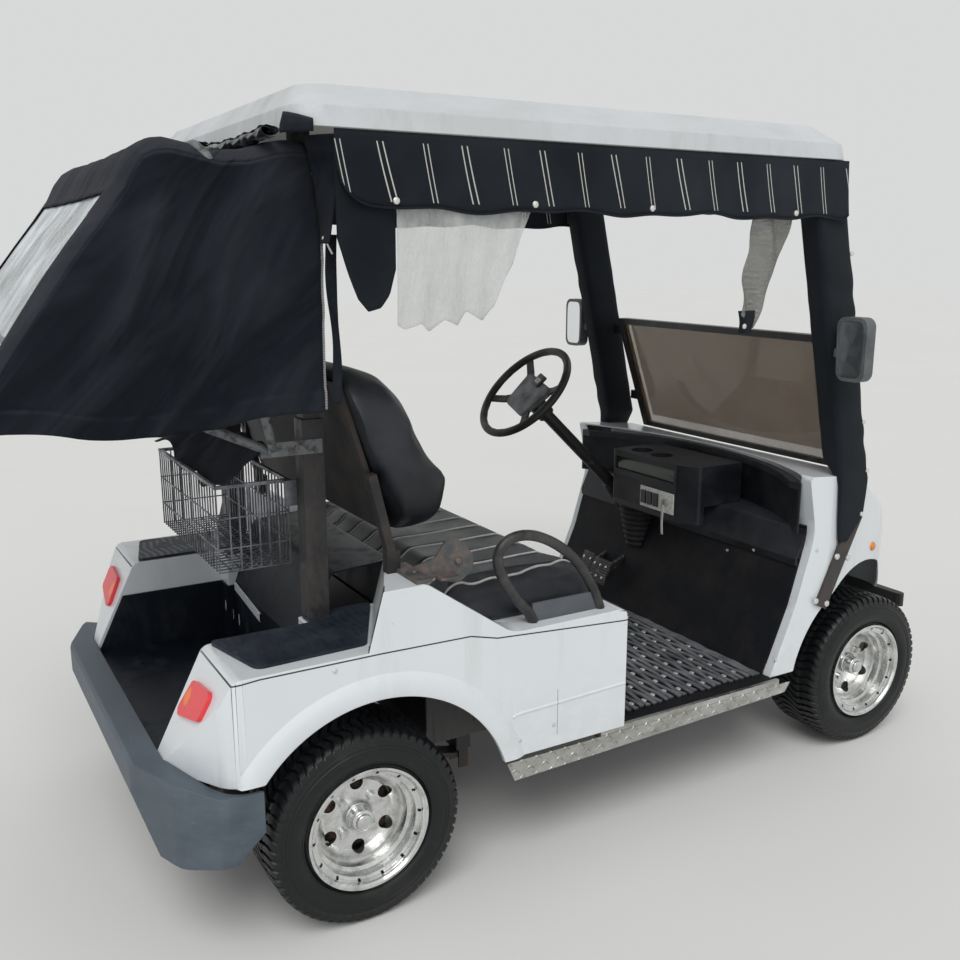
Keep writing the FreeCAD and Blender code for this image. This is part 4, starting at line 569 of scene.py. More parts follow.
# Rear bumper
# Blue-grey textured plastic, chalky from the sun and scraped along its ridge.
bumper = Finish("bumper_grey", (0.10, 0.115, 0.14), 0.6)
chalk = bumper.ramp(bumper.noise(5.0, 6.0, 0.65, (1.0, 1.0, 2.0)), 0.35, 0.75)
scrape = bumper.ramp(bumper.noise(28.0, 6.0, 0.75, (1.0, 0.3, 3.0)), 0.63, 0.72, 0.0, 0.7)
blues = bumper.mix(chalk, (0.058, 0.078, 0.100), (0.125, 0.155, 0.190))
bumper.feed(Base_Color=bumper.mix(scrape, blues, (0.24, 0.25, 0.26)),
            Roughness=bumper.ramp(chalk, 0.0, 1.0, 0.45, 0.75),
            Normal=bumper.bump(bumper.noise(600.0, 2.0) + scrape * 0.4, 0.0006))
paint(bumper, "rear_bumper")
rounded_edges("rear_bumper", 0.0024, 20)


# Front bumper, headlamps and markers
# A black textured plastic strip under the nose, clear moulded lenses over
# bright reflectors, and an amber marker lamp on each side.
strip = Finish("bumper_black", (0.02, 0.02, 0.021), 0.6)
strip.wear((7.0, 5.0), (0.35, 0.75), (0.014, 0.014, 0.015), (0.05, 0.05, 0.052),
           grain=(600.0, 2.0), depth=0.0006)
paint(strip, "front_bumper")

clear_lens = Finish("lamp_clear", (0.75, 0.77, 0.78), 0.08, Coat_Weight=1.0, Coat_Roughness=0.04)
x, y, z = clear_lens.axes()
flutes = (y * 620.0).sine()
# The lens colour runs in light and dark stripes with the flutes: painted highlights and shade.
clear_lens.feed(Base_Color=clear_lens.mix(clear_lens.ramp(flutes, -1.0, 1.0),
                                          (0.42, 0.44, 0.46), (0.80, 0.82, 0.83)),
                Normal=clear_lens.bump(flutes, 0.0012))
paint(clear_lens, "headlamps")

amber = Finish("marker_amber", (0.75, 0.22, 0.03), 0.3)
amber.wear((120.0,), None, (0.62, 0.20, 0.04), (0.85, 0.30, 0.05))
leg_bolt_spots = ((1473, 626), (1519, 615), (1399, 505), (1444, 490))
points, faces, heads, head_faces = [], [], [], []
for side in (-1, 1):
    dome(points, faces, at(1731.5, side * 469.4, 597), (0.29, side * 0.96, 0), 0.014, 0.009, 20)
    for x, z in leg_bolt_spots:
        dome(heads, head_faces, at(x, side * 555.5, z), (0, side, 0), 0.0095, 0.006, 10)
piece("side_markers", points, faces, amber, "chassis")
piece("leg_bolts", heads, head_faces, rivet_steel, "chassis")


# Floor pan and rockers
# A black moulded floor and toe board with fine grain, and aged diamond plate
# bent over the floor's edges.
board = Finish("floor_board", (0.010, 0.010, 0.013), 0.65, Specular_IOR_Level=0.2)
board.wear((7.0, 6.0, 0.65), (0.42, 0.8), (0.006, 0.007, 0.010), (0.024, 0.022, 0.022),
           grain=(500.0, 3.0), depth=0.0008)
paint(board, "floor_pan")

diamond = Finish("diamond_plate", (0.42, 0.42, 0.40), 0.42, 0.9)
x, y, z = diamond.axes()
across = z + abs(y)
lug_pitch, diagonal = 0.030, 0.7071


def lug_field(finish, u, v, turned):
    """Raised lozenges in a square grid, leaning one way or the other."""
    a = (u + v) * diagonal if turned else (u - v) * diagonal
    b = (u - v) * diagonal if turned else (u + v) * diagonal
    shift = 0.25 * lug_pitch if turned else 0.0
    a = ((a + shift) / lug_pitch).wrap(1.0) - 0.5
    b = ((b + shift) / lug_pitch).wrap(1.0) - 0.5
    return finish.ramp(abs(a) * 2.6 + abs(b) * 9.0, 1.0, 0.35)


lugs = lug_field(diamond, x, across, False).most(lug_field(diamond, x, across, True))
diamond.wear((11.0, 6.0, 0.7, (1.0, 1.0, 2.0)), (0.4, 0.72), (0.56, 0.56, 0.54),
             (0.26, 0.25, 0.22), rough=(0.32, 0.62), metal=(0.95, 0.55))
diamond.feed(Normal=diamond.bump(lugs, 0.0022))
paint(diamond, "rocker_panels")

# Link mat
# Strips cut from tyre casings lie side by side across the cart, strung on wire.
# Each one snakes between its neighbours, so gaps open and close, and bright rivets hold the loops.
# Below its top each strip is painted near-black as the shade in the gaps.
strip_rubber = Finish("mat_link", (0.08, 0.083, 0.09), 0.7, Specular_IOR_Level=0.3)
threads = strip_rubber.noise(300.0, 3.0, stretch=(1.0, 0.08, 1.0))
worn = strip_rubber.ramp(strip_rubber.noise(10.0, 5.0, 0.7), 0.35, 0.75)
x, y, z = strip_rubber.axes()
# Below the strips' tops the colour goes near-black: painted shade in the gaps between them.
low_side_shade = strip_rubber.ramp(z, 0.3045, 0.3090, 0.05, 1.0)
strip_tone = strip_rubber.mix(worn, (0.075, 0.080, 0.090), (0.235, 0.245, 0.265))
strip_rubber.feed(Base_Color=strip_rubber.mix(low_side_shade, (0.004, 0.004, 0.005), strip_tone),
                  Normal=strip_rubber.bump(threads, 0.0016))

random.seed(11)
mat_rear, mat_rows, mat_pitch, mat_steps = 737, 22, 21.2, 150
snake, swing_of_strip, strip_width, band_width = 150.0, 3.0, 15.0, 31.0
points, faces, rivets, rivet_faces = [], [], [], []
for row in range(mat_rows + 1):
    front_band = row == mat_rows
    x0 = mat_rear + row * mat_pitch
    width = band_width if front_band else strip_width
    swing = 0.0 if front_band or row == 0 else swing_of_strip
    phase = math.pi * (row % 2)
    wander = random.uniform(-1.0, 1.0)
    y_low, y_high = -523 + random.uniform(0, 9), 503 - random.uniform(0, 12)
    section = ((1.5, 299.5), (width - 1.5, 299.5), (width, 303.0), (width - 1.2, 309.6),
               (width * 0.5, 310.6), (1.2, 309.6), (0.0, 303.0))
    count, start = len(section), len(points)
    for i in range(mat_steps + 1):
        y = y_low + (y_high - y_low) * i / mat_steps
        wave = math.sin(2 * math.pi * y / snake + phase)
        edge = x0 + swing * wave + wander * math.sin(y / 120.0 + row)
        lift = 0.9 * math.sin(y / 31.0 + 2.1 * row) + 0.8 * math.sin(y / 13.0 + row)
        points += [at(edge + dx, y, z + (lift if z > 305 else 0.0)) for dx, z in section]
    faces += grid(count, mat_steps + 1, start, closed=True)
    faces.append(tuple(range(start, start + count))[::-1])
    faces.append(tuple(range(len(points) - count, len(points))))
    spot = -525 + (0.75 if row % 2 else 0.25) * snake
    while spot < 500 and not front_band:
        y = spot + random.uniform(-12, 12)
        if y_low + 8 < y < y_high - 8:
            middle = at(x0 + width * 0.5 + swing, y, 310.4)
            dome(rivets, rivet_faces, middle, (0, 0, 1), 0.0078, 0.0042)
        spot += snake
mat = piece("link_mat", points, faces, strip_rubber, "chassis", 50)
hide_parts("floor_mat")
piece("mat_rivets", rivets, rivet_faces, rivet_steel, "chassis")


# Dashboard and console
# Black moulded plastic with a fine grain, greyed by dust, with painted shade in the console's
# pocket. A dark green glazed slot lies over the white switch plate, whose key hangs on a white
# tape.
dash_plastic = Finish("dash_black", (0.014, 0.016, 0.020), 0.5, Specular_IOR_Level=0.3)
haze = dash_plastic.ramp(dash_plastic.noise(6.0, 5.0, 0.6), 0.38, 0.75)
x, y, z = dash_plastic.axes()
nx, ny, nz = dash_plastic.faces()
settled = dash_plastic.ramp(nz, 0.3, 1.0) * 0.5
# The pocket in the console's rear face is painted near-black as shade.
pocket_shade = (abs(y - 0.144) < 0.068) * (abs(z - 0.710) < 0.042) * (x < 0.6185) * (nx < -0.5)
dash_tone = dash_plastic.mix((haze + settled).least(1.0),
                             (0.008, 0.009, 0.012), (0.038, 0.041, 0.050))
dash_plastic.feed(
    Base_Color=dash_plastic.mix(pocket_shade, dash_tone, (0.002, 0.002, 0.003)),
    Roughness=dash_plastic.ramp(haze, 0.0, 1.0, 0.40, 0.62),
    Normal=dash_plastic.bump(dash_plastic.noise(650.0, 2.0), 0.0006))
paint(dash_plastic, "dash", "console")

glaze = Finish("slot_glaze", (0.012, 0.02, 0.010), 0.12)
glaze.wear((14.0, 2.0), None, (0.006, 0.010, 0.006), (0.030, 0.042, 0.018))
points = []
for i in range(13):
    y = -88.5 + 287.0 * i / 12
    bow = 0.8 * math.sin(math.pi * i / 12)
    points += [at(1267.4, y, 771.5), at(1266.2 - bow, y, 776.0),
               at(1266.2 - bow, y, 807.0), at(1267.4, y, 811.5)]
piece("console_glass", points, grid(4, 13), glaze, "chassis")

plate = Finish("switch_white", (0.72, 0.72, 0.69), 0.4)
x, y, z = plate.axes()
proud = x < 0.6126
key_y = y + 0.062
key_z = z - 0.706
key_reach = plate.node("Math", {"operation": "SQRT"}, [key_y * key_y + key_z * key_z])
around_key = key_reach < 0.0125
slot_mark = (abs(key_y) < 0.0012) * (key_reach < 0.006)
soil = plate.ramp(plate.noise(70.0, 5.0, 0.7), 0.48, 0.75)
shade = plate.mix(soil, (0.74, 0.74, 0.71), (0.34, 0.33, 0.30))
shade = plate.mix(proud, shade, (0.018, 0.018, 0.02))
shade = plate.mix(around_key, shade, (0.30, 0.30, 0.29))
plate.feed(Base_Color=plate.mix(slot_mark, shade, (0.01, 0.01, 0.01)),
           Normal=plate.bump(plate.noise(400.0, 2.0), 0.0003))
paint(plate, "switch_plate")

tape_white = Finish("key_tape", (0.75, 0.75, 0.72), 0.7)
x, y, z = tape_white.axes()
tape_white.wear((60.0, 4.0), None, (0.62, 0.61, 0.57), (0.80, 0.80, 0.77))
tape_white.feed(Normal=tape_white.bump((z * 5200.0).sine(), 0.0003))
points = []
for i in range(25):
    t = i / 24
    x = 1246.5 - 1.5 * math.sin(2.4 * t)
    y = -62 + 2.5 * math.sin(3.1 * t)
    z = 700 - 96 * t
    points += [at(x + d, y + s, z) for s, d in ((-5.5, 0.0), (-2.0, -0.8), (2.0, -0.8), (5.5, 0.0))]
tape = piece("key_tape", points, grid(4, 25), tape_white, "chassis", thick=0.001)

# Pedals
# Two cast plates with rows of bright studs, on arms from the toe board.
pedal_iron = Finish("pedal_black", (0.025, 0.025, 0.026), 0.5)
x, y, z = pedal_iron.axes()
pedal_iron.wear((40.0, 4.0), (0.5, 0.7), (0.018, 0.018, 0.02), (0.11, 0.11, 0.11))
pedal_iron.feed(Normal=pedal_iron.bump((z * 800.0).sine() + pedal_iron.noise(300.0), 0.0008))
paint(pedal_iron, "pedals")
pedal_face, pedal_rise, pedal_run = (-0.892, 0, 0.452), 75, 38
points, faces = [], []
for middle_y, low_x, studs_y in ((300, 1215, (-18.0, 18.0)), (205, 1200, (-30.6, 0.0, 30.6))):
    for t in (0.25, 0.72):
        for dy in studs_y:
            spot = at(low_x - 12 + pedal_run * t - 4.1, middle_y + dy, 380 + pedal_rise * t + 2.1)
            dome(points, faces, spot, pedal_face, 0.005, 0.003)
piece("pedal_studs", points, faces, rivet_steel, "chassis")

# Rubber boot
# A ribbed cone of black rubber between the console and the toe board, grey
# with dust on its ribs. Two bright screws hold the toe board beside it.
boot_rubber = Finish("boot_rubber", (0.015, 0.015, 0.016), 0.7, Specular_IOR_Level=0.3)
boot_rubber.wear((40.0, 4.0), None, (0.010, 0.010, 0.011), (0.035, 0.035, 0.037))
boot_x, boot_y, boot_low, boot_ribs, rib_height = 1335, 172, 498.0, 8, 19.125
boot_rows = [(30.0, boot_low)]
for i in range(boot_ribs):
    radius = 30.0 + 30.0 * (i + 0.5) / boot_ribs
    low_z = boot_low + rib_height * i
    boot_rows += [(radius, low_z + 1.5), (radius + 4.0, low_z + 6.0), (radius + 5.5, low_z + 9.6),
                  (radius + 4.0, low_z + 13.2), (radius + 0.5, low_z + 17.6)]
points = [at(boot_x + r * math.cos(math.pi * k / 16), boot_y + r * math.sin(math.pi * k / 16), z)
          for r, z in boot_rows for k in range(33)]
piece("column_boot", points, grid(33, len(boot_rows)), boot_rubber, "chassis", 60)

points, faces = [], []
dome(points, faces, at(1351.5, -245.3, 583), (-0.96, 0, 0.28), 0.005, 0.003, 10)
dome(points, faces, at(1351.2, -353.2, 610.9), (-1.0, 0, -0.1), 0.005, 0.003, 10)
piece("toe_screws", points, faces, rivet_steel, "chassis")

# Steering column and wheel
# A painted steel column with a cast collar, and a wheel of moulded black foam on four flat spokes.
# Its pad carries a clip, and its silvery grey patches are a painted sheen.
column_paint = Finish("column_black", (0.018, 0.018, 0.019), 0.45)
column_paint.wear((35.0, 6.0, 0.7), (0.6, 0.66, 0.0, 0.8), (0.016, 0.016, 0.017),
                  (0.12, 0.09, 0.07), grain=(250.0,), depth=0.0005)
paint(column_paint, "steering_column")

foam = Finish("wheel_black", (0.02, 0.02, 0.021), 0.5)
foam.wear((12.0, 4.0), (0.45, 0.7), (0.016, 0.016, 0.017), (0.045, 0.045, 0.047),
          rough=(0.55, 0.35), grain=(480.0, 2.0), depth=0.0008)


def rounded(corners, radius, steps=6):
    """Outline through corners, each turned on a curve that starts a radius away."""
    out = []
    for i, corner in enumerate(corners):
        here = Vector(corner)
        before, after = Vector(corners[i - 1]), Vector(corners[(i + 1) % len(corners)])
        a = here + (before - here).normalized() * radius
        b = here + (after - here).normalized() * radius
        for k in range(steps + 1):
            t = k / steps
            out.append(a * (1 - t) ** 2 + here * 2 * t * (1 - t) + b * t * t)
    return out


column_slope, hand_turn = math.radians(43.5), math.radians(-16.0)
wheel_axis = Vector((-math.cos(column_slope), 0, math.sin(column_slope)))
wheel_ahead = Vector((math.sin(column_slope), 0, math.cos(column_slope)))
wheel_left = Vector((0, 1, 0))
wheel_centre = at(1300, 280, 702) + wheel_axis * 0.488
wheel_top = wheel_ahead * math.cos(hand_turn) + wheel_left * math.sin(hand_turn)
wheel_right = wheel_ahead * math.sin(hand_turn) - wheel_left * math.cos(hand_turn)


def on_wheel(u, v, w):
    """Place on the hand wheel: right, top and toward the driver, in mm."""
    return wheel_centre + (wheel_right * u + wheel_top * v + wheel_axis * w) / 1000.0


rim_radius, rim_steps, grip_steps, finger_waves = 168.0, 96, 16, 24
points = []
for i in range(rim_steps + 1):
    a = 2 * math.pi * i / rim_steps
    for k in range(grip_steps + 1):
        b = 2 * math.pi * k / grip_steps
        grip_radius = 12.4 + 0.5 * math.cos(finger_waves * a) * max(0.0, -math.cos(b))
        reach = rim_radius + grip_radius * math.cos(b)
        points.append(on_wheel(reach * math.cos(a), reach * math.sin(a), grip_radius * math.sin(b)))
faces = grid(grip_steps + 1, rim_steps + 1)
spoke_rows = [
    # reach from the hub, height, half width
    (66, -19.5, 17.0), (110, -17.0, 14.0), (145, -9.0, 13.0), (164, -2.0, 14.5),
]
for degrees in (33, 147, 213, 327):
    c, s = math.cos(math.radians(degrees)), math.sin(math.radians(degrees))
    faces += grid(4, len(spoke_rows), len(points), closed=True)
    for reach, w, half in spoke_rows:
        for across, up in ((-1.0, -3.0), (-0.86, 3.6), (0.86, 3.6), (1.0, -3.0)):
            points.append(on_wheel(reach * c - half * across * s,
                                   reach * s + half * across * c, w + up))
hub_radius, hub_sides, start = 34, 32, len(points)
for w in (-45.5, -20.0):
    for k in range(hub_sides):
        angle = 2 * math.pi * k / hub_sides
        points.append(on_wheel(hub_radius * math.cos(angle), hub_radius * math.sin(angle), w))
faces += grid(hub_sides, 2, start, closed=True)
faces.append(tuple(range(start, start + hub_sides)))
hand_wheel = piece("hand_wheel", points, faces, foam, "steering_hand_wheel", 50)
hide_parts("steering_wheel")

pad_skin = Finish("hub_pad", (0.10, 0.105, 0.115), 0.35)
# The pad's silvery grey patches are painted sheen, a painted reflection of the sky.
pad_skin.wear((14.0, 5.0, 0.6), (0.35, 0.7), (0.040, 0.043, 0.050), (0.20, 0.215, 0.235),
              rough=(0.5, 0.28), grain=(380.0, 3.0), depth=0.0005)
pad_outline = rounded([(-73, -66), (-96, 62), (96, 62), (73, -66)], 26)
pad_levels = ((0.97, -26.0), (1.0, -22.0), (1.0, -16.0), (0.97, -13.0), (0.9, -11.2), (0.6, -9.6),
              (0.05, -9.0))
points, count = [], len(pad_outline)
for scale, w in pad_levels:
    points += [on_wheel(p.x * scale, p.y * scale, w) for p in pad_outline]
faces = grid(count, len(pad_levels), closed=True)
faces += [tuple(range(count))[::-1], tuple(range(len(points) - count, len(points)))]
piece("hub_pad", points, faces, pad_skin, "steering_hand_wheel", 50)

clip_outline = rounded([(-24, 36), (-24, 80), (24, 80), (24, 36)], 7)
clip_middle = 58
points, count = [], len(clip_outline)
for scale, w in ((1.0, -12.0), (1.0, -5.5), (0.93, -4.6)):
    points += [on_wheel(p.x * scale, clip_middle + (p.y - clip_middle) * scale, w)
               for p in clip_outline]
faces = grid(count, 3, closed=True) + [tuple(range(2 * count, 3 * count))]
piece("hub_clip", points, faces, foam, "steering_hand_wheel", 50)
points = [on_wheel(u, v, -4.2) for u, v in ((-15, 46), (15, 46), (15, 64), (-15, 64))]
piece("clip_card", points, [(0, 1, 2, 3)], tape_white, "steering_hand_wheel")


# Cushion of the bench
# Black grained vinyl over foam on a board, sewn in bands that run fore and
# aft with pale piping between them. Foam swells between the seams.
def prism_block(rows, half, steps, round_z=0.0, round_r=120.0):
    """Closed block from rows (x, z), swept across the cart with rounded ends."""
    points, faces = [], []
    middle = (min(z for x, z in rows) + max(z for x, z in rows)) / 2
    for i in range(steps + 1):
        y = -half + 2 * half * i / steps
        over = max(0.0, (abs(y) - (half - round_r)) / round_r)
        keep = 1.0 - round_z * (1.0 - math.sqrt(max(0.0, 1.0 - over * over)))
        points += [at(x, y, middle + (z - middle) * keep) for x, z in rows]
    count = len(rows)
    for i in range(steps):
        for k in range(count):
            a, b = i * count + k, i * count + (k + 1) % count
            faces.append((a, a + count, b + count, b))
    faces.append(tuple(range(count)))
    faces.append(tuple(range(steps * count, (steps + 1) * count))[::-1])
    data = bpy.data.meshes.new("block")
    data.from_pydata([tuple(p) for p in points], [], faces)
    block = bpy.data.objects.new("block", data)
    bpy.context.collection.objects.link(block)
    return block


def shaped(block):
    """The block's mesh once its modifiers are applied, which it then keeps."""
    view = bpy.context.evaluated_depsgraph_get()
    mesh = bpy.data.meshes.new_from_object(block.evaluated_get(view))
    block.modifiers.clear()
    block.data = mesh
    return mesh


def smoothing(block, iterations):
    smooth = block.modifiers.new("soft", "SMOOTH")
    smooth.factor, smooth.iterations = 0.5, iterations


def settle(block, still, pressure, cap, taut):
    """Remesh a block, let it swell as foam under a sewn cover, and keep it smooth."""
    remesh = block.modifiers.new("even", "REMESH")
    remesh.mode = "VOXEL"
    remesh.voxel_size = 0.009
    shaped(block)
    smoothing(block, 6)
    even = shaped(block)
    rest = [v.co.copy() for v in even.vertices]
    group = block.vertex_groups.new(name="held")
    group.add([v.index for v in even.vertices if still(v.co)], 1.0, "REPLACE")
    cloth = block.modifiers.new("foam", "CLOTH")
    cloth.settings.quality = 4
    cloth.settings.mass = 0.3
    cloth.settings.tension_stiffness = 12
    cloth.settings.compression_stiffness = 12
    cloth.settings.bending_stiffness = 1.5
    cloth.settings.use_pressure = True
    cloth.settings.uniform_pressure_force = pressure
    cloth.settings.effector_weights.gravity = 0.0
    cloth.settings.vertex_group_mass = "held"
    last_frame = 20
    cloth.point_cache.frame_start, cloth.point_cache.frame_end = 1, last_frame
    scene = bpy.context.scene
    for frame_number in range(1, last_frame + 1):
        scene.frame_set(frame_number)
    view = bpy.context.evaluated_depsgraph_get()
    swollen = bpy.data.meshes.new_from_object(block.evaluated_get(view))
    scene.frame_set(1)
    for vertex, start, end in zip(even.vertices, rest, [v.co.copy() for v in swollen.vertices]):
        move = end - start
        vertex.co = start + (move * (cap / move.length) if move.length > cap else move)
    block.modifiers.clear()
    block.vertex_groups.clear()
    smoothing(block, taut)
    finer = block.modifiers.new("finer", "SUBSURF")
    finer.levels = finer.render_levels = 1
    mesh = shaped(block)
    bpy.data.objects.remove(block)
    return mesh


vinyl = Finish("vinyl_black", (0.012, 0.015, 0.019), 0.42, Specular_IOR_Level=0.4)
vinyl.wear((7.0, 4.0, 0.6), (0.35, 0.75), (0.007, 0.009, 0.012), (0.028, 0.032, 0.040),
           rough=(0.34, 0.58), grain=(380.0, 4.0, 0.6), depth=0.0007)

seat_half, seat_limit = 492, 0.4995
board_top, cushion_low, cushion_high = 0.6235, 0.6168, 0.7215
seam_from, seam_depth, seam_width = 0.66, 0.0045, 0.009
cushion_rows = [(226, 618), (224, 640), (226, 676), (240, 694), (268, 702), (420, 700), (600, 706),
                (644, 706), (666, 694), (676, 670), (676, 630), (672, 618)]
cushion_mesh = settle(prism_block(cushion_rows, seat_half, 40),
                      lambda p: p.z < board_top, 4.0, 0.022, 2)
piping_places = [-0.44, -0.352, -0.256, -0.154, -0.05, 0.05, 0.154, 0.256, 0.352, 0.44]
for vertex in cushion_mesh.vertices:
    p = vertex.co
    p.z = max(p.z, cushion_low)
    p.x = min(max(p.x, at(219, 0, 0).x), at(683, 0, 0).x)
    p.y = min(max(p.y, -seat_limit), seat_limit)
    near = min(abs(p.y - place) for place in piping_places)
    if p.z > seam_from:
        p.z -= seam_depth * math.exp(-(near / seam_width) ** 2)
    p.z = min(p.z, cushion_high)
cushion = piece("seat_cushion_vinyl", None, None, vinyl, "seat_lid", 180,
                data=cushion_mesh)
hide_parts("seat_cushion")

piping_white = Finish("piping_pale", (0.55, 0.55, 0.53), 0.55)
piping_white.wear((45.0, 4.0, 0.7), None, (0.24, 0.24, 0.235), (0.66, 0.66, 0.64))

cushion_tree = BVHTree.FromPolygons([v.co for v in cushion_mesh.vertices],
                                    [tuple(p.vertices) for p in cushion_mesh.polygons])
outer_place, spread_share = 0.44, 0.34
points, faces = [], []
for place in piping_places:
    path = []
    for i in range(61):
        sweep = math.radians(-62 + 150 * i / 60)
        centre = at(450 + 210 * math.sin(sweep * 0.98), 0, 640)
        centre.y = place
        if abs(place) > 0.4:
            outward = max(0.0, (spread_share - i / 60) / spread_share) ** 2
            centre.y = place + 0.045 * (place / outer_place) * outward
        direction = Vector((math.sin(sweep), 0, math.cos(sweep)))
        hit = cushion_tree.ray_cast(centre + direction * 0.4, -direction)
        if hit[0] is not None:
            path.append(hit[0] + hit[1] * 0.0012)
    tube_mesh(points, faces, path, 0.0032)
piece("cushion_piping", points, faces, piping_white, "seat_lid")

# Back cushion
# One thick pad of the same vinyl with large round ends, on a dark painted
# panel, and the steel brackets that carry it.
back_rows = [(18, 1228), (60, 1232), (135, 1210), (166, 1160), (196, 1070), (240, 960), (250, 920),
             (246, 850), (236, 834), (160, 832), (146, 838), (78, 1040)]
panel_low, panel_low_x, panel_slope = 826, 140, (12 - 140) / (1236 - 826)


def panel_x(z):
    """Place of the panel's front at a height in m, in mm ahead of the rear axle."""
    return panel_low_x + (z * 1000 - panel_low) * panel_slope


back_mesh = settle(prism_block(back_rows, seat_half, 44, 0.55, 170.0),
                   lambda p: (p.x * 1000 + origin_ahead) < panel_x(p.z) + 9, 2.0, 0.014, 26)
for vertex in back_mesh.vertices:
    p = vertex.co
    p.x = max(p.x, at(panel_x(p.z), 0, 0).x + 0.0004)
    p.y = min(max(p.y, -seat_limit), seat_limit)
    p.z = max(p.z, 0.8235)
back = piece("seat_back_vinyl", None, None, vinyl, "chassis", 180, data=back_mesh)
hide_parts("seat_back")

panel = Finish("bracket_steel", (0.05, 0.045, 0.04), 0.6, Specular_IOR_Level=0.3)
panel.wear((11.0, 6.0, 0.68), (0.42, 0.68), (0.024, 0.024, 0.025), (0.058, 0.048, 0.042),
           grain=(170.0, 4.0), depth=0.0009)
paint(panel, "seat_frame", "seat_hinges")

# Latch
# A bare steel bar on the right hump and the folded plate that it carries, with
# rust along their edges and one large bolt.
latch_steel = Finish("latch_steel", (0.20, 0.20, 0.20), 0.55, 0.2)
latch_steel.wear((26.0, 6.0, 0.7), (0.42, 0.66), (0.085, 0.092, 0.098), (0.17, 0.125, 0.105),
                 metal=(0.4, 0.0), grain=(140.0, 4.0), depth=0.001)


def slab(points, faces, outline, spread):
    """Add an outline as a closed plate between two of its copies."""
    start, count = len(points), len(outline)
    for across in (0, 1):
        points.extend(spread(p, across) for p in outline)
    faces.append(tuple(range(start, start + count))[::-1])
    faces.append(tuple(range(start + count, start + 2 * count)))
    faces.extend(grid(count, 2, start, closed=True))


hump_top, latch_y = 771.4, -512
plate_outline = rounded([(132, hump_top), (132, 789), (204, 806), (228, 840), (262, 842),
                         (300, 802), (302, 764), (262, 738), (214, 752), (176, hump_top)], 7, 3)
points, faces = [], []
slab(points, faces, plate_outline, lambda p, across: at(p.x, latch_y + 6 * across, p.y))
slab(points, faces, rounded([(128, -567), (128, -430), (168, -430), (168, -567)], 3, 2),
     lambda p, across: at(p.x, p.y, hump_top + 9 * across))
slab(points, faces, rounded([(204, -538), (204, -510), (252, -510), (252, -538)], 6, 2),
     lambda p, across: at(p.x, p.y, 758 + 6 * across))
dome(points, faces, at(262, latch_y, 790), (0, -1, 0), 0.0105, 0.008, 6)
dome(points, faces, at(150, latch_y, 781), (0, 0, 1), 0.008, 0.006, 6)
piece("seat_latch", points, faces, latch_steel, "chassis", 40)

# Hip restraints
# Steel tube bent into an uneven arch and covered in worn black plastic, with a
# grey plate between its feet on each side panel.
grip = Finish("grip_tube", (0.025, 0.025, 0.026), 0.45)
grip.wear((18.0, 5.0, 0.65), (0.42, 0.72), (0.016, 0.016, 0.017), (0.070, 0.068, 0.066),
          rough=(0.35, 0.6), grain=(300.0, 3.0), depth=0.0006)
plate_grey = Finish("hip_plate", (0.09, 0.10, 0.115), 0.5)
plate_grey.wear((22.0, 5.0, 0.7), None, (0.055, 0.062, 0.075), (0.13, 0.14, 0.155))
arch_spots = [(452, 616), (436, 644), (404, 682), (376, 722), (356, 764), (354, 798), (372, 822),
              (404, 833), (444, 830), (486, 814), (530, 787), (570, 752), (604, 708), (630, 662),
              (648, 616)]


def curved(spots, steps):
    """Smooth run through spots, as a Catmull-Rom curve."""
    out, last = [], len(spots) - 1
    for i in range(last):
        a, b, c, d = (Vector(spots[max(0, min(last, i + k))]) for k in (-1, 0, 1, 2))
        for k in range(steps):
            t = k / steps
            out.append(0.5 * (2 * b + (c - a) * t + (2 * a - 5 * b + 4 * c - d) * t * t
                              + (3 * b - a - 3 * c + d) * t ** 3))
    return out + [Vector(spots[-1])]


loop_y, plate_thick = 535, 6
points, faces, plate_points, plate_faces = [], [], [], []
for side in (-1, 1):
    arch = [at(p.x, side * loop_y, p.y) for p in curved(arch_spots, 5)]
    tube_mesh(points, faces, arch, 0.0128, 16)
    slab(plate_points, plate_faces,
         rounded([(448, 616.4), (448, 662), (646, 662), (646, 616.4)], 5, 3),
         lambda p, across: at(p.x, side * loop_y + plate_thick * (across - 0.5), p.y))
loops = piece("hip_loops", points, faces, grip, "chassis", 60)
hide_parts("hip_restraints")
plates = piece("hip_plates", plate_points, plate_faces, plate_grey, "chassis", 40)
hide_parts("hip_restraints")


# Roof and struts
# One moulded tray of pale plastic, streaked by rain and grey with lichen in its grain, with painted
# shade on its underside, on four steel struts whose black paint has begun to rust.
roof_skin = Finish("roof_white", (0.66, 0.67, 0.68), 0.45)
nx, ny, nz = roof_skin.faces()
film = roof_skin.ramp(roof_skin.noise(3.0, 6.0, 0.65, (1.0, 2.0, 1.0)), 0.38, 0.75)
runs = roof_skin.noise(16.0, 5.0, 0.65, (1.0, 1.0, 0.15))
runs = roof_skin.ramp(runs, 0.52, 0.78, 0.0, 0.5) * (nz < 0.7)
roof_dirt = (film * 0.6 + runs).least(1.0)
# Downward-facing faces are painted darker as shade.
underside_shade = roof_skin.ramp(nz, -0.05, -0.3)
top = roof_skin.mix(roof_dirt, (0.64, 0.665, 0.695), (0.45, 0.455, 0.45))
roof_skin.feed(Base_Color=roof_skin.mix(underside_shade, top, (0.40, 0.40, 0.39)),
               Roughness=roof_skin.ramp(roof_dirt, 0.0, 1.0, 0.38, 0.7),
               Normal=roof_skin.bump(roof_skin.noise(350.0, 3.0), 0.0008))
paint(roof_skin, "roof")
rounded_edges("roof", 0.0022, 28)

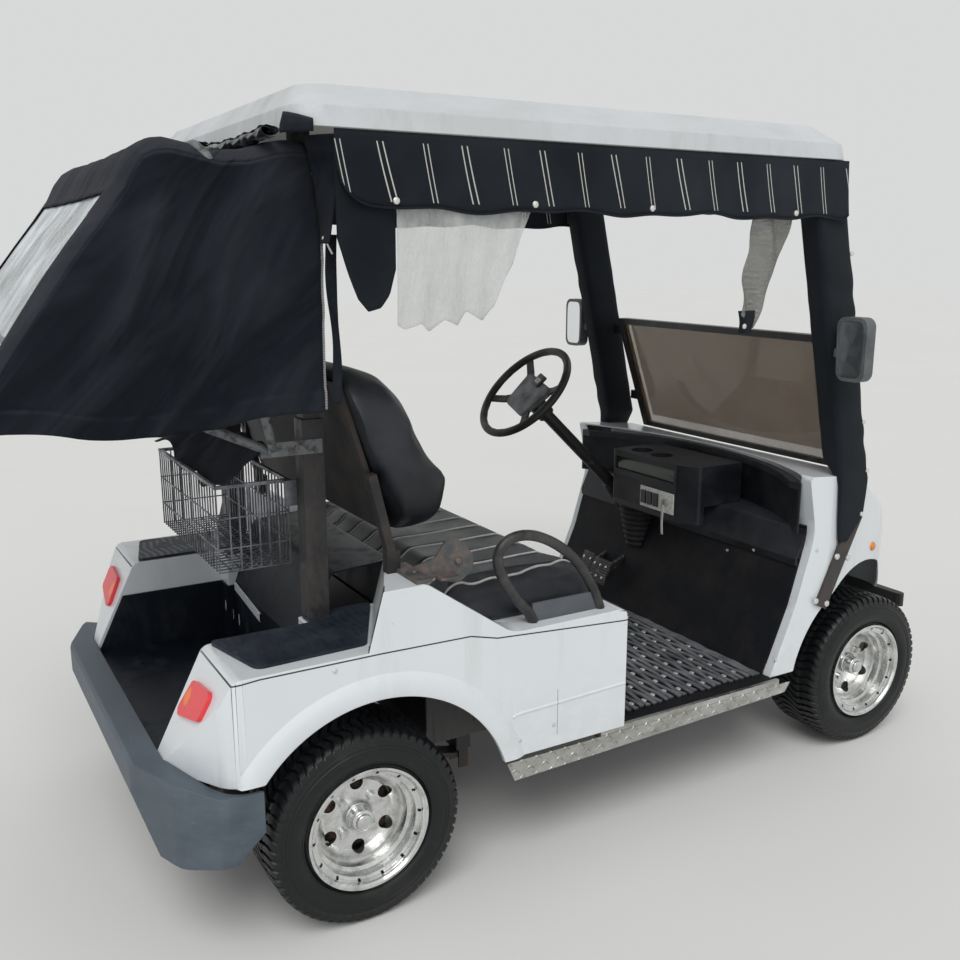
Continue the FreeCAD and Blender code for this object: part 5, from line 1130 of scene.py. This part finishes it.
strut_paint = Finish("strut_steel", (0.03, 0.03, 0.03), 0.5)
x, y, z = strut_paint.axes()
rust = strut_paint.ramp(strut_paint.noise(20.0, 7.0, 0.7, (1.0, 1.0, 0.5)), 0.46, 0.66)
leg_rust = (rust + (z < 0.76) * (x > 0.5) * 0.45).least(1.0)
strut_paint.feed(Base_Color=strut_paint.mix(leg_rust, (0.022, 0.022, 0.024), (0.062, 0.054, 0.050)),
                 Roughness=strut_paint.ramp(leg_rust, 0.0, 1.0, 0.42, 0.85),
                 Normal=strut_paint.bump(strut_paint.noise(140.0, 4.0), 0.0008))
paint(strut_paint, "roof_struts")

# Strut sleeves
# Black coated cloth wrapped round the front struts and closed by snaps along
# the leading edge. It hangs a little slack, with creases across.
cloth_black = Finish("sleeve_fabric", (0.009, 0.013, 0.018), 0.8, Specular_IOR_Level=0.15,
                     Sheen_Weight=0.04, Sheen_Roughness=0.5)
x, y, z = cloth_black.axes()
weave = (x * 3600.0 + y * 3600.0).sine() * (z * 3600.0).sine()
cloth_black.wear((4.0, 5.0, 0.6), (0.35, 0.75), (0.006, 0.009, 0.013), (0.020, 0.025, 0.033),
                 rough=(0.72, 0.9))
cloth_black.feed(Normal=cloth_black.bump(weave * 0.5 + cloth_black.noise(60.0, 4.0), 0.0006))


def along_rows(rows, z):
    """Value at a height, on the straight runs between rows (z, value)."""
    for (z0, v0), (z1, v1) in zip(rows, rows[1:]):
        if (z0 - z) * (z1 - z) <= 0 and z0 != z1:
            return v0 + (v1 - v0) * (z - z0) / (z1 - z0)
    return rows[0][1] if abs(z - rows[0][0]) < abs(z - rows[-1][0]) else rows[-1][1]


def squarish(angle, power):
    """Cosine and sine of an angle, pushed out toward the corners of a square."""
    return [math.copysign(abs(v) ** power, v) for v in (math.cos(angle), math.sin(angle))]


sleeve_front = [(1696, 1390), (1100, 1524), (850, 1580), (704, 1562), (660, 1552)]
sleeve_rear = [(1696, 1264), (1100, 1402), (850, 1461), (656, 1474)]
sleeve_top, sleeve_low, point_top, point_height = 1696, 668, 735, 67
sleeve_outer, strut_inner, step_out, step_top, step_height = 559.5, 489.0, 58.0, 900, 60
levels, around = 70, 20
for side, name in left_right:
    points = []
    for i in range(levels + 1):
        z = sleeve_top - (sleeve_top - sleeve_low) * i / levels
        front, rear = along_rows(sleeve_front, z), along_rows(sleeve_rear, z)
        y_in = strut_inner + step_out * min(1.0, max(0.0, (step_top - z) / step_height))
        if z < point_top:
            point = (point_top - z) / point_height
            rear += point * 4
            front -= point * 48
        for k in range(around):
            c, s = squarish(2 * math.pi * k / around, 0.42)
            x = (front + rear) / 2 + (front - rear) / 2 * c
            y = (sleeve_outer + y_in) / 2 + (sleeve_outer - y_in) / 2 * s
            fold = 2.6 * math.sin(z / 23.0 + 2.4 * math.sin(z / 61.0 + 3 * side) + 1.3 * c)
            points.append(at(x + 0.28 * fold * c, side * (y + 0.9 * fold * max(0.0, s)), z))
    faces = grid(around, levels + 1, closed=True, flip=side > 0)
    sleeve = piece("strut_sleeve_" + name, points, faces, cloth_black, "chassis",
                   60, 0.0012)
    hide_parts("strut_sleeves")

snap_metal = Finish("snap_pale", (0.72, 0.72, 0.70), 0.3, 0.6)
snap_metal.feed(Roughness=snap_metal.ramp(snap_metal.noise(200.0), 0.3, 0.7, 0.2, 0.5))
points, faces = [], []
for side in (-1, 1):
    for z in (1470, 1235, 1010, 868, 742):
        x = along_rows(sleeve_front, z) - 11
        dome(points, faces, at(x, side * 560.6, z), (0, side, 0), 0.0068, 0.004, 12)
piece("sleeve_snaps", points, faces, snap_metal, "chassis")


# Valance
# A band of black canvas under the roof's edge on each side, with woven pairs
# of white pinstripes and round lower corners. Snaps gather it into shallow waves.
stripe_cloth = Finish("valance_cloth", (0.011, 0.015, 0.021), 0.8, Specular_IOR_Level=0.15,
                      Sheen_Weight=0.04, Sheen_Roughness=0.5)
x, y, z = stripe_cloth.axes()
stripe_pitch = 0.0943
drop = 1.704 - z
leaning = x + 0.629 - drop * 0.20 - (x * 34.0).sine() * 0.004
spot = abs(leaning.wrap(stripe_pitch) - stripe_pitch / 2)
pair = (abs(spot - 0.0056) < 0.00125) * (drop > 0.020) * (drop < 0.134)
bleach = stripe_cloth.ramp(stripe_cloth.noise(4.0, 5.0), 0.35, 0.75)
weave = (x * 3600.0).sine() * (z * 3600.0).sine()
base = stripe_cloth.mix(bleach, (0.008, 0.011, 0.016), (0.024, 0.030, 0.040))
stripe_cloth.feed(Base_Color=stripe_cloth.mix(pair, base, (0.62, 0.62, 0.58)),
                  Normal=stripe_cloth.bump(weave * 0.5 + stripe_cloth.noise(60.0, 4.0), 0.0006))


def hanging(name, span, z_top, lower, y_of, finish, steps, rows_down, thick=0.0016):
    """Cloth hung from a straight edge: lower(x) is its hem, and y_of(x, t) its waves."""
    points, area = [], 0.0
    for i in range(steps + 1):
        x = span[0] + (span[1] - span[0]) * i / steps
        for k in range(rows_down + 1):
            t = k / rows_down
            points.append(at(x, y_of(x, t), z_top + (lower(x) - z_top) * t))
    faces = grid(rows_down + 1, steps + 1)
    for face in faces:
        a, b, c, d = [points[n] for n in face]
        area += (b - a).cross(c - a).length / 2 + (c - a).cross(d - a).length / 2
    return piece(name, points, faces, finish, "chassis", 70, thick), round(area, 4)


valance_rear, valance_front, valance_y = -30, 1392, 562.5


def valance_hem(x):
    round_rear = max(0.0, (80 - (x - valance_rear)) / 80)
    round_front = max(0.0, (24 - (valance_front - x)) / 24)
    sag = 4.0 * math.sin(x / 63.0) + 3.0 * math.sin(x / 29.0 + 1.2)
    corners = 92 * (1 - math.sqrt(1 - round_rear ** 2)) + 20 * (1 - math.sqrt(1 - round_front ** 2))
    return 1556 + sag + corners


def swell(x, side):
    return 3.4 * math.sin(x / 41.0 + side) + 2.2 * math.sin(x / 17.0 + 2.0)


for side, name in left_right:
    def waves(x, t):
        return side * (valance_y + t * swell(x, side) + 6 * t * t)

    cloth, area = hanging("valance_" + name, (valance_rear, valance_front), 1703.0, valance_hem,
                          waves, stripe_cloth, 150, 10)
    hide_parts("valance")
    points = []
    for i in range(101):
        x = valance_rear + 1 + 1420 * i / 100
        for dy, dz in ((-1.4, 0.0), (1.6, 0.0), (1.6, 5.0), (-1.4, 5.0)):
            points.append(at(x, waves(x, 1.0) + side * dy, valance_hem(x) - 1 + dz))
    piece("valance_binding_" + name, points, grid(4, 101, closed=True), cloth_black, "chassis",
          30)
points, faces = [], []
for side in (-1, 1):
    for x in (92, 420, 742, 1205):
        out = valance_y + 0.9 * swell(x, side) + 6.6
        dome(points, faces, at(x, side * out, valance_hem(x) + 15), (0, side, 0), 0.0075, 0.005, 12)
piece("valance_snaps", points, faces, snap_metal, "chassis")

# Side curtain
# What is left of the zipped curtain on the right: a black corner flap, a torn
# sheet of clear vinyl, a rolled length under the valance and a strip in front.
clear_vinyl = Finish("clear_vinyl", (0.62, 0.64, 0.64), 0.14)
milky = clear_vinyl.noise(9.0, 6.0, 0.62, (1.0, 1.0, 0.6))
ridges = clear_vinyl.noise(22.0, 4.0, 0.6, (1.0, 1.0, 0.35))
clear_vinyl.feed(Base_Color=clear_vinyl.mix(milky, (0.46, 0.47, 0.46), (0.80, 0.82, 0.82)),
                 Alpha=clear_vinyl.ramp(milky, 0.32, 0.72, 0.22, 0.80),
                 Normal=clear_vinyl.bump(ridges, 0.012))
smoke_vinyl = Finish("rolled_vinyl", (0.16, 0.16, 0.14), 0.2)
smoke = smoke_vinyl.noise(16.0, 5.0, 0.62, (1.0, 1.0, 2.0))
smoke_vinyl.feed(Base_Color=smoke_vinyl.mix(smoke, (0.05, 0.05, 0.045), (0.34, 0.34, 0.31)),
                 Alpha=smoke_vinyl.ramp(smoke, 0.35, 0.7, 0.62, 0.95),
                 Normal=smoke_vinyl.bump(smoke_vinyl.noise(40.0, 4.0, stretch=(1.0, 1.0, 3.0)),
                                         0.006))

curtain_top = 1690
flap_hem = [(-30, 1500), (-8, 1436), (14, 1382), (34, 1357), (60, 1364), (82, 1390), (98, 1440)]
cloth, area = hanging("curtain_flap", (-30, 98), curtain_top, lambda x: along_rows(flap_hem, x),
                      lambda x, t: -558.5 + 4.0 * t * math.sin(x / 15.0 + 0.8), cloth_black,
                      26, 24)
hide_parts("side_curtain")
torn = [(100, 1328), (116, 1318), (150, 1330), (168, 1312), (205, 1336), (240, 1322), (262, 1352),
        (300, 1330), (330, 1362), (352, 1420), (372, 1450), (392, 1505), (410, 1548), (428, 1600)]
cloth, area = hanging("curtain_window", (100, 428), curtain_top, lambda x: along_rows(torn, x),
                      lambda x, t: (-557.5 + 5.0 * t * math.sin(x / 36.0)
                                    + 3.0 * t * math.sin(x / 11.0 + 4 * t)),
                      clear_vinyl, 70, 40, 0.0008)
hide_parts("side_curtain")

roll_rear, roll_length, roll_turns, roll_sag = 478, 584, 1.35, 4.0
points, around, steps = [], 22, 60
for i in range(steps + 1):
    t = i / steps
    x = roll_rear + roll_length * t
    lean = 0.4 * math.sin(x / 130.0)
    for k in range(around):
        turn = 2 * math.pi * roll_turns * k / (around - 1)
        crumple = 1.5 * math.sin(x / 24.0 + 3 * turn) + 1.0 * math.sin(x / 9.0 + turn)
        radius = 10 + 10.5 * k / (around - 1) + crumple
        points.append(at(x, -538.5 + radius * math.sin(turn + lean),
                         1583 - roll_sag * math.sin(math.pi * t) + radius * math.cos(turn + lean)))
roll = piece("curtain_roll", points, grid(around, steps + 1), smoke_vinyl, "chassis",
             180, 0.0008)
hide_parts("side_curtain")
points, faces = [], []
for x in (500, 640, 780, 920, 1040):
    faces += grid(2, 9, len(points))
    for i in range(9):
        t = i / 8
        z = curtain_top - 112 * min(1.0, t * 1.15)
        y = -559.3 + 8 * max(0.0, t - 0.8)
        points += [at(x - 9, y, z), at(x + 9, y, z)]
piece("curtain_straps", points, faces, cloth_black, "chassis", 60, 0.0014)

strip_left = [(1690, 1078), (1560, 1082), (1480, 1078), (1400, 1058), (1284, 1048)]
strip_right = [(1690, 1228), (1560, 1222), (1480, 1196), (1400, 1150), (1284, 1096)]
points, levels, across = [], 60, 22
for i in range(levels + 1):
    z = curtain_top - 404 * i / levels
    left, right = along_rows(strip_left, z), along_rows(strip_right, z)
    twist = 2.7 * math.sin((curtain_top - z) / 95.0)
    for k in range(across + 1):
        s = k / across
        bulge = 9.0 * math.sin(math.pi * s * 2 + twist) + 3.0 * math.sin(z / 17.0 + 9 * s)
        points.append(at(left + (right - left) * s, -546.0 + min(11.0, max(-11.0, bulge)), z))
strip_cloth = piece("curtain_strip", points, grid(across + 1, levels + 1), smoke_vinyl, "chassis",
                    180, 0.0008)
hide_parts("side_curtain")
points = []
for i in range(13):
    t = i / 12
    y, z = -549 - 5 * math.sin(3 * t), 1330 - 56 * t
    points += [at(1044 + 4 * t, y, z), at(1100 - 14 * t, y, z)]
piece("curtain_strip_hem", points, grid(2, 13), cloth_black, "chassis", 60, 0.002)
points, faces = [], []
dome(points, faces, at(1062, -555, 1292), (0, -1, 0), 0.007, 0.004, 12)
piece("curtain_snap", points, faces, snap_metal, "chassis")


# Windshield
# Two sheets of amber-brown tinted acrylic. The upper one is folded down in
# front of the lower one, and both are held by black channels.
tint = Finish("pane_tint", (0.26, 0.17, 0.10), 0.06)
haze = tint.wear((7.0, 5.0, 0.65), (0.4, 0.8), (0.24, 0.155, 0.085), (0.38, 0.29, 0.20),
                 rough=(0.05, 0.2))
tint.feed(Alpha=tint.ramp(haze, 0.0, 1.0, 0.48, 0.60))
paint(tint, "windshield_panes")
channel = Finish("shield_frame", (0.02, 0.02, 0.02), 0.45)
channel.wear((24.0, 6.0, 0.7), (0.55, 0.68, 0.0, 0.6), (0.015, 0.015, 0.016), (0.075, 0.072, 0.068),
             grain=(260.0, 3.0), depth=0.0005)
paint(channel, "windshield_frame")

# Mirrors
# Grey moulded housings with rounded edges on short arms. The glass faces the driver and sits in a
# shallow rim. The right one's glass is painted dark as shade.
housing = Finish("mirror_grey", (0.11, 0.12, 0.13), 0.5)
housing.wear((16.0, 5.0, 0.6), (0.35, 0.75), (0.075, 0.083, 0.09), (0.16, 0.17, 0.175),
             grain=(500.0, 2.0), depth=0.0006)
paint(housing, "mirrors")
soften = nodes["mirrors"].modifiers.new("round", "BEVEL")
soften.width, soften.segments, soften.limit_method = 0.007, 3, "ANGLE"
soften.angle_limit = math.radians(50)
bright_glass = Finish("mirror_glass", (0.85, 0.88, 0.90), 0.02, 1.0)
bright_glass.feed(Roughness=bright_glass.ramp(bright_glass.noise(30.0, 5.0), 0.4, 0.8, 0.02, 0.12))
# The right mirror's glass is a darkened copy of the left one's: painted shade.
shaded_glass = Finish("mirror_shaded", (0.10, 0.11, 0.12), 0.25, 0.5)
shaded_glass.feed(Roughness=shaded_glass.ramp(shaded_glass.noise(30.0, 5.0), 0.4, 0.8, 0.15, 0.45))
glass_sides, glass_y, glass_z, half_width, half_height = 48, 624.5, 1224, 38, 74
for side, name in left_right:
    corners = [squarish(2 * math.pi * k / glass_sides, 0.35) for k in range(glass_sides)]
    points = [at(x, side * (glass_y + half_width * c * narrow), glass_z + half_height * s * low)
              for x, narrow, low in ((1377.2, 1.0, 1.0), (1376.6, 0.93, 0.965)) for c, s in corners]
    points.append(at(1376.2, side * glass_y, glass_z))
    faces = grid(glass_sides, 2, closed=True)
    faces += [(glass_sides + k, glass_sides + (k + 1) % glass_sides, 2 * glass_sides)
              for k in range(glass_sides)]
    faces = faces if side < 0 else [f[::-1] for f in faces]
    piece("mirror_glass_" + name, points, faces, bright_glass if side > 0 else shaded_glass,
          "chassis", 30)


# Bag cover
# Faded black canvas over the bag well, held up by two bows. It hangs from the roof's rear edge in
# long folds, with a hazy window sewn in the sloping back. Fold crests and upward faces are painted
# lighter as highlights.
canvas = Finish("cover_canvas", (0.010, 0.013, 0.020), 0.85, Specular_IOR_Level=0.12,
                Sheen_Weight=0.03, Sheen_Roughness=0.5)
x, y, z = canvas.axes()
nx, ny, nz = canvas.faces()
faded = canvas.ramp(canvas.noise(2.6, 5.0, 0.6), 0.34, 0.72)
# Upward-facing cloth is painted lighter, as light falling from above.
sun = canvas.ramp(nz, 0.1, 0.75, 0.0, 0.65)
weave = (x * 3000.0 + y * 3000.0).sine() * (z * 3000.0).sine()
slanted = canvas.node("VectorRotate", {"rotation_type": "Y_AXIS"}, {
    "Vector": canvas.node("TexCoord", {}, {}, "Object"), "Angle": math.radians(50)})
slanted = canvas.node("VectorMath", {"operation": "MULTIPLY"}, [slanted, (0.36, 0.8, 1.5)])
folds = canvas.node("TexNoise", {}, {"Vector": slanted, "Scale": 5.0, "Detail": 3.0,
                                     "Roughness": 0.5, "Distortion": 0.7}, "Fac")
# Crests of the fold pattern, which also drives the bump, are painted lighter as highlights.
crest_highlight = canvas.ramp(folds, 0.46, 0.68)
pale = (faded * 0.25 + crest_highlight * 0.5 + sun).least(1.0)
relief = weave * 0.00036 + canvas.noise(45.0, 5.0) * 0.0009 + folds * 0.13
canvas.feed(Base_Color=canvas.mix(pale, (0.005, 0.008, 0.013), (0.042, 0.046, 0.059)),
            Roughness=canvas.ramp(faded, 0.0, 1.0, 0.78, 0.92),
            Normal=canvas.bump(relief, 1.0))

cover_half = 476.0
cover_profile = [
    # x, z along the top from the roof's edge and down the sloping back
    (-46, 1690), (-80, 1692), (-118, 1686), (-170, 1672), (-225, 1668), (-280, 1680), (-318, 1687),
    (-345, 1684), (-372, 1668), (-394, 1640), (-414, 1602), (-452, 1552), (-500, 1492),
    (-548, 1428), (-592, 1364), (-634, 1302), (-668, 1250), (-690, 1212), (-697, 1180),
    (-698, 1152),
]


def resampled(rows, count):
    """Points at equal steps along rows."""
    runs = [math.dist(a, b) for a, b in zip(rows, rows[1:])]
    total, out = sum(runs), []
    for i in range(count + 1):
        left, k = total * i / count, 0
        while k < len(runs) - 1 and left > runs[k]:
            left -= runs[k]
            k += 1
        t = min(1.0, left / runs[k])
        out.append(tuple(a + (b - a) * t for a, b in zip(rows[k], rows[k + 1])))
    return out


def slope_share(x):
    """0 on the cover's top, 1 on its sloping back."""
    t = min(1.0, max(0.0, (-340 - x) / 80))
    return t * t * (3 - 2 * t)


def cut_area(points, faces):
    """Area of the flat cloth that a grid of faces stands for."""
    return round(sum((points[b] - points[a]).cross(points[d] - points[a]).length
                     for a, b, c, d in faces), 4)


top_rows, columns = resampled(cover_profile, 96), 97
points = []
for x, z in top_rows:
    slope = slope_share(x)
    for k in range(columns):
        s = -1 + 2 * k / (columns - 1)
        y = cover_half * s
        droop = 7.0 * math.sin(math.pi * (s + 1) / 2) * (1 if x < -130 else 0.3)
        shoulder = 30.0 * max(0.0, (abs(s) - 0.86) / 0.14) ** 2
        fold = 2.2 * math.sin(y / 37.0 + z / 70.0) + 1.6 * math.sin(y / 19.0 - z / 45.0)
        points.append(at(x + slope * (0.8 * droop + 0.6 * shoulder) + 0.4 * fold, y,
                         z - droop * (1.0 - 0.65 * slope) - shoulder * (1.0 - 0.6 * slope)
                         + 0.5 * (1.0 - slope) * fold))

window_low, window_high, window_half, window_top_x = 1212.0, 1588.0, 400.0, -398


def in_window(i, k):
    x, z = top_rows[i]
    y = cover_half * (-1 + 2 * (k + 0.5) / (columns - 1))
    half = window_half + (window_high - z) * 0.04
    return x < window_top_x and window_low < z < window_high and abs(y) < half


faces = grid(columns, len(top_rows), keep=lambda i, k: not in_window(i, k))
top_cloth = piece("cover_top", points, faces, canvas, "chassis", 180, 0.0018)
cut_area(points, faces)
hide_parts("bag_cover")

hazy = Finish("cover_window_vinyl", (0.60, 0.62, 0.62), 0.22)
streak = hazy.noise(7.0, 4.0, 0.55, (1.0, 1.4, 1.0))
hazy.feed(Base_Color=hazy.mix(hazy.ramp(streak, 0.35, 0.68),
                              (0.52, 0.56, 0.58), (0.80, 0.85, 0.90)),
          Alpha=hazy.ramp(streak, 0.30, 0.70, 0.62, 0.92),
          Roughness=hazy.ramp(streak, 0.3, 0.7, 0.12, 0.4),
          Normal=hazy.bump(hazy.noise(9.0, 2.0, stretch=(0.8, 1.6, 0.8)), 0.022))
faces = grid(columns, len(top_rows), keep=in_window)
used = sorted({n for f in faces for n in f})
place_of = {n: i for i, n in enumerate(used)}
points = [points[n] + Vector((0.004, 0, -0.002)) for n in used]
faces = [tuple(place_of[n] for n in f) for f in faces]
window = piece("cover_window_sheet", points, faces, hazy, "chassis", 180, 0.0008)
cut_area(points, faces)
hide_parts("cover_window")

front_edge = [(1700, -61), (1600, -42), (1507, -33), (1380, -36), (1160, -38)]
hem_low = [(-698, 1160), (-640, 1158), (-520, 1138), (-374, 1126), (-298, 1133), (-180, 1146),
           (-38, 1156)]
hem_height = 44


def side_drape(x, t, height, low, side):
    """Distance of the hanging cloth from the cart's middle."""
    lean = 0.55 * (1690 - height)
    along = x + lean + 30 * side
    ridge = 1.0 - abs(math.sin(along / 41.0 + 0.9 * math.sin((x + height) / 150.0)))
    small = 1.0 - abs(math.sin(along / 23.0 + 1.3 * math.sin(height / 120.0) + 1.0))
    broad = math.sin((x + 0.3 * lean) / 70.0 + 0.8)
    middle = math.exp(-((x + 340 - 0.5 * lean) / 200.0) ** 2)
    pull = 1.0 - abs(math.sin((height - 0.75 * (x + 40)) / 33.0))
    near_zip = math.exp(-((x + 60) / 120.0) ** 2) * math.exp(-((height - 1430) / 150.0) ** 2)
    out = 5.0 + t * (11.0 * ridge ** 2 * (0.3 + 0.7 * middle) + 4.5 * small ** 2 * middle
                     + 4.0 * broad)
    out += 5.0 * pull ** 2 * near_zip
    hem = 1.2 if height < low + hem_height else 0.0
    stitched = -2.0 * math.exp(-((height - low - hem_height) / 5.0) ** 2)
    return cover_half + 1.0 + out + hem + stitched


side_rows = 66
for side, name in left_right:
    points = []
    for top_x, top_z in top_rows:
        shift = 18 * slope_share(top_x)
        x, z = top_x + shift, top_z - 30 + shift
        low = along_rows(hem_low, x) + 3 * math.sin(x / 33.0)
        ahead = max(0.0, (x + 160) / 114)
        for k in range(side_rows):
            t = k / (side_rows - 1)
            height = z + (min(z, low) - z) * t
            forward = ahead ** 2 * (along_rows(front_edge, height) + 46)
            y = side_drape(x, t, height, low, side)
            y = cover_half + (y - cover_half) * min(1.0, t * 5.0)
            points.append(at(x + forward, side * y, height))
    faces = grid(side_rows, len(top_rows), flip=side < 0)
    side_cloth = piece("cover_side_" + name, points, faces, canvas, "chassis",
                       180, 0.0018)
    cut_area(points, faces)
    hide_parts("bag_cover")

# Zip and corner of the cover
# A gusset closes the corner between the cover and the valance, down to where
# the zip has parted. A tab of the same canvas is tucked over the roof's corner.
gusset_levels, gusset_columns, tab_steps, tab_rows = 40, 9, 15, 6
for side, name in left_right:
    points = []
    for i in range(gusset_levels):
        z = 1694 - 204 * i / (gusset_levels - 1)
        closed = 1.0 - 0.55 * (i / (gusset_levels - 1)) ** 2
        rear_x = along_rows(front_edge, z)
        for k in range(gusset_columns):
            s = k / (gusset_columns - 1)
            fold = 5.0 * math.sin(math.pi * s) * math.sin(z / 19.0)
            x = rear_x + (-20 - rear_x) * s * closed - fold
            points.append(at(x - 6 * math.sin(math.pi * s), side * (483 + 73 * s * closed), z))
    faces = grid(gusset_columns, gusset_levels)
    gusset = piece("cover_gusset_" + name, points, faces, canvas, "chassis",
                   180, 0.0016)
    cut_area(points, faces)
    points = []
    for i in range(tab_steps):
        angle = math.radians(172 + side * -5 + 74 * i / (tab_steps - 1))
        top = 1733 - 16 * (i / (tab_steps - 1)) ** 1.5
        for k in range(tab_rows):
            z = 1694 + (top - 1694) * k / (tab_rows - 1)
            reach = 62.5 - max(0.0, z - 1708) * 0.30 + 1.2 * math.sin(i * 1.1)
            points.append(at(-52 + reach * math.cos(angle),
                             side * (506 - reach * math.sin(angle)), z))
    piece("cover_tab_" + name, points, grid(tab_rows, tab_steps), canvas, "chassis",
          180, 0.002)
lap_levels, lap_columns = 35, 5
for side, name in left_right:
    points = []
    for i in range(lap_levels):
        z = 1508 - 342 * i / (lap_levels - 1)
        for k in range(lap_columns):
            x = -24 + 5.5 * k + 3.0 * math.sin(z / 47.0) + (4 - k) * 1.2 * math.sin(z / 90.0)
            points.append(at(x, side * (489 + 3.0 * math.sin(z / 29.0 + k)), z))
    faces = grid(lap_columns, lap_levels)
    lap = piece("cover_lap_" + name, points, faces, canvas, "chassis", 180, 0.0016)
    cut_area(points, faces)

zip_grey = Finish("zip_grey", (0.30, 0.31, 0.32), 0.45)
x, y, z = zip_grey.axes()
teeth = (z * 1900.0).sine()
zip_grey.feed(Base_Color=zip_grey.mix(teeth > 0.0, (0.10, 0.105, 0.11), (0.42, 0.43, 0.44)),
              Normal=zip_grey.bump(teeth, 0.0006))
zip_top, zip_low, zip_length, zip_steps = 1690, 1156, 532, 60
points, faces = [], []
for side in (-1, 1):
    faces += grid(4, zip_steps + 1, len(points), closed=True)
    for i in range(zip_steps + 1):
        z = zip_top - zip_length * i / zip_steps
        x = along_rows(front_edge, z) + 1.5
        out = side_drape(x, (zip_top - z) / zip_length, z, zip_low, side) + 0.4
        out = min(out, cover_half + 16)
        for dx, dy in ((-2.2, 2.6), (2.2, 2.6), (2.2, -0.5), (-2.2, -0.5)):
            points.append(at(x + dx, side * (out + dy), z))
piece("cover_zip", points, faces, zip_grey, "chassis", 30)
points, faces = [], []
for side in (-1, 1):
    dome(points, faces, at(-30, side * 500, 1500), (-0.4, side, 0), 0.007, 0.005, 10)
    pull_spots = ((-31, 503, 1498), (-26, 506, 1484), (-18, 505, 1470))
    tube_mesh(points, faces, [at(x, side * y, z) for x, y, z in pull_spots], 0.0022)
piece("cover_zip_slider", points, faces, snap_metal, "chassis")

# Rolled opening of the cover
# The flap over the roof's rear edge is rolled up: creased clear vinyl in a
# dark roll, and a thicker bundle of canvas at its inner end.
rolled_film = Finish("rolled_film", (0.05, 0.055, 0.06), 0.16)
shine = rolled_film.noise(30.0, 4.0, 0.6, (1.0, 0.25, 1.0))
rolled_film.feed(Base_Color=rolled_film.mix(rolled_film.ramp(shine, 0.45, 0.65),
                                            (0.010, 0.013, 0.018), (0.20, 0.22, 0.23)),
                 Normal=rolled_film.bump(shine, 0.006))
points, around, steps = [], 26, 70
for i in range(steps + 1):
    y = -500 + 446 * i / steps
    for k in range(around):
        turn = 2 * math.pi * 1.3 * k / (around - 1)
        crumple = 1.8 * math.sin(y / 17.0 + 2 * turn) + 1.2 * math.sin(y / 7.5 - 3 * turn)
        radius = 8 + 7 * k / (around - 1) + crumple
        points.append(at(-136 + 1.3 * radius * math.cos(turn), y,
                         1698 + 0.8 * radius * math.sin(turn) - 6 * math.sin(math.pi * i / steps)))
faces = grid(around, steps + 1)
roll = piece("cover_roll", points, faces, rolled_film, "chassis", 180, 0.0008)
cut_area(points, faces)
points, steps = [], 24
for i in range(steps + 1):
    y = -62 + 150 * i / steps
    puff = 1.0 - 0.25 * (2 * i / steps - 1) ** 4
    for k in range(around):
        turn = 2 * math.pi * 1.15 * k / (around - 1)
        radius = (24 + 7 * k / (around - 1) + 1.5 * math.sin(y / 11.0 + 2 * turn)) * puff
        points.append(at(-150 + 1.1 * radius * math.cos(turn), y,
                         1703 + 0.62 * radius * math.sin(turn)))
faces = grid(around, steps + 1)
bundle = piece("cover_bundle", points, faces, canvas, "chassis", 180, 0.0018)
cut_area(points, faces)

# Bows and basket
# Bent tube bows with peeling grey paint, a basket of zinc-plated wire that has
# gone dull, and a flap of canvas that has dropped over its rim.
bow_paint = Finish("bow_paint", (0.09, 0.095, 0.10), 0.45)
flake = bow_paint.wear((30.0, 5.0, 0.7), (0.5, 0.62), (0.15, 0.16, 0.17), (0.035, 0.033, 0.032))
bow_paint.feed(Normal=bow_paint.bump(flake, 0.0006))
paint(bow_paint, "cover_bows")
wire = Finish("basket_wire", (0.35, 0.36, 0.38), 0.4, 0.8)
wire.wear((25.0, 5.0, 0.65), (0.4, 0.7), (0.20, 0.21, 0.24), (0.04, 0.038, 0.036),
          rough=(0.3, 0.7), metal=(0.9, 0.2))
paint(wire, "basket")

rows, wide, flap_half = 13, 41, 292
points = []
for k in range(rows):
    t = k / (rows - 1)
    for i in range(wide):
        s = -1 + 2 * i / (wide - 1)
        drop = 58 + 44 * (1 - abs(s + 0.25) / 1.25) + 10 * math.sin(7 * s)
        x = -96 - 112 * t + 9 * math.sin(8 * s + 3 * t) * t
        points.append(at(x, flap_half * s, 1052 - drop * t ** 0.8 + 5 * math.sin(13 * s + 5 * t)))
flap = piece("basket_flap", points, grid(wide, rows), canvas, "chassis",
             180, 0.0012)
area = sum(polygon.area for polygon in flap.data.polygons)


low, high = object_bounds()
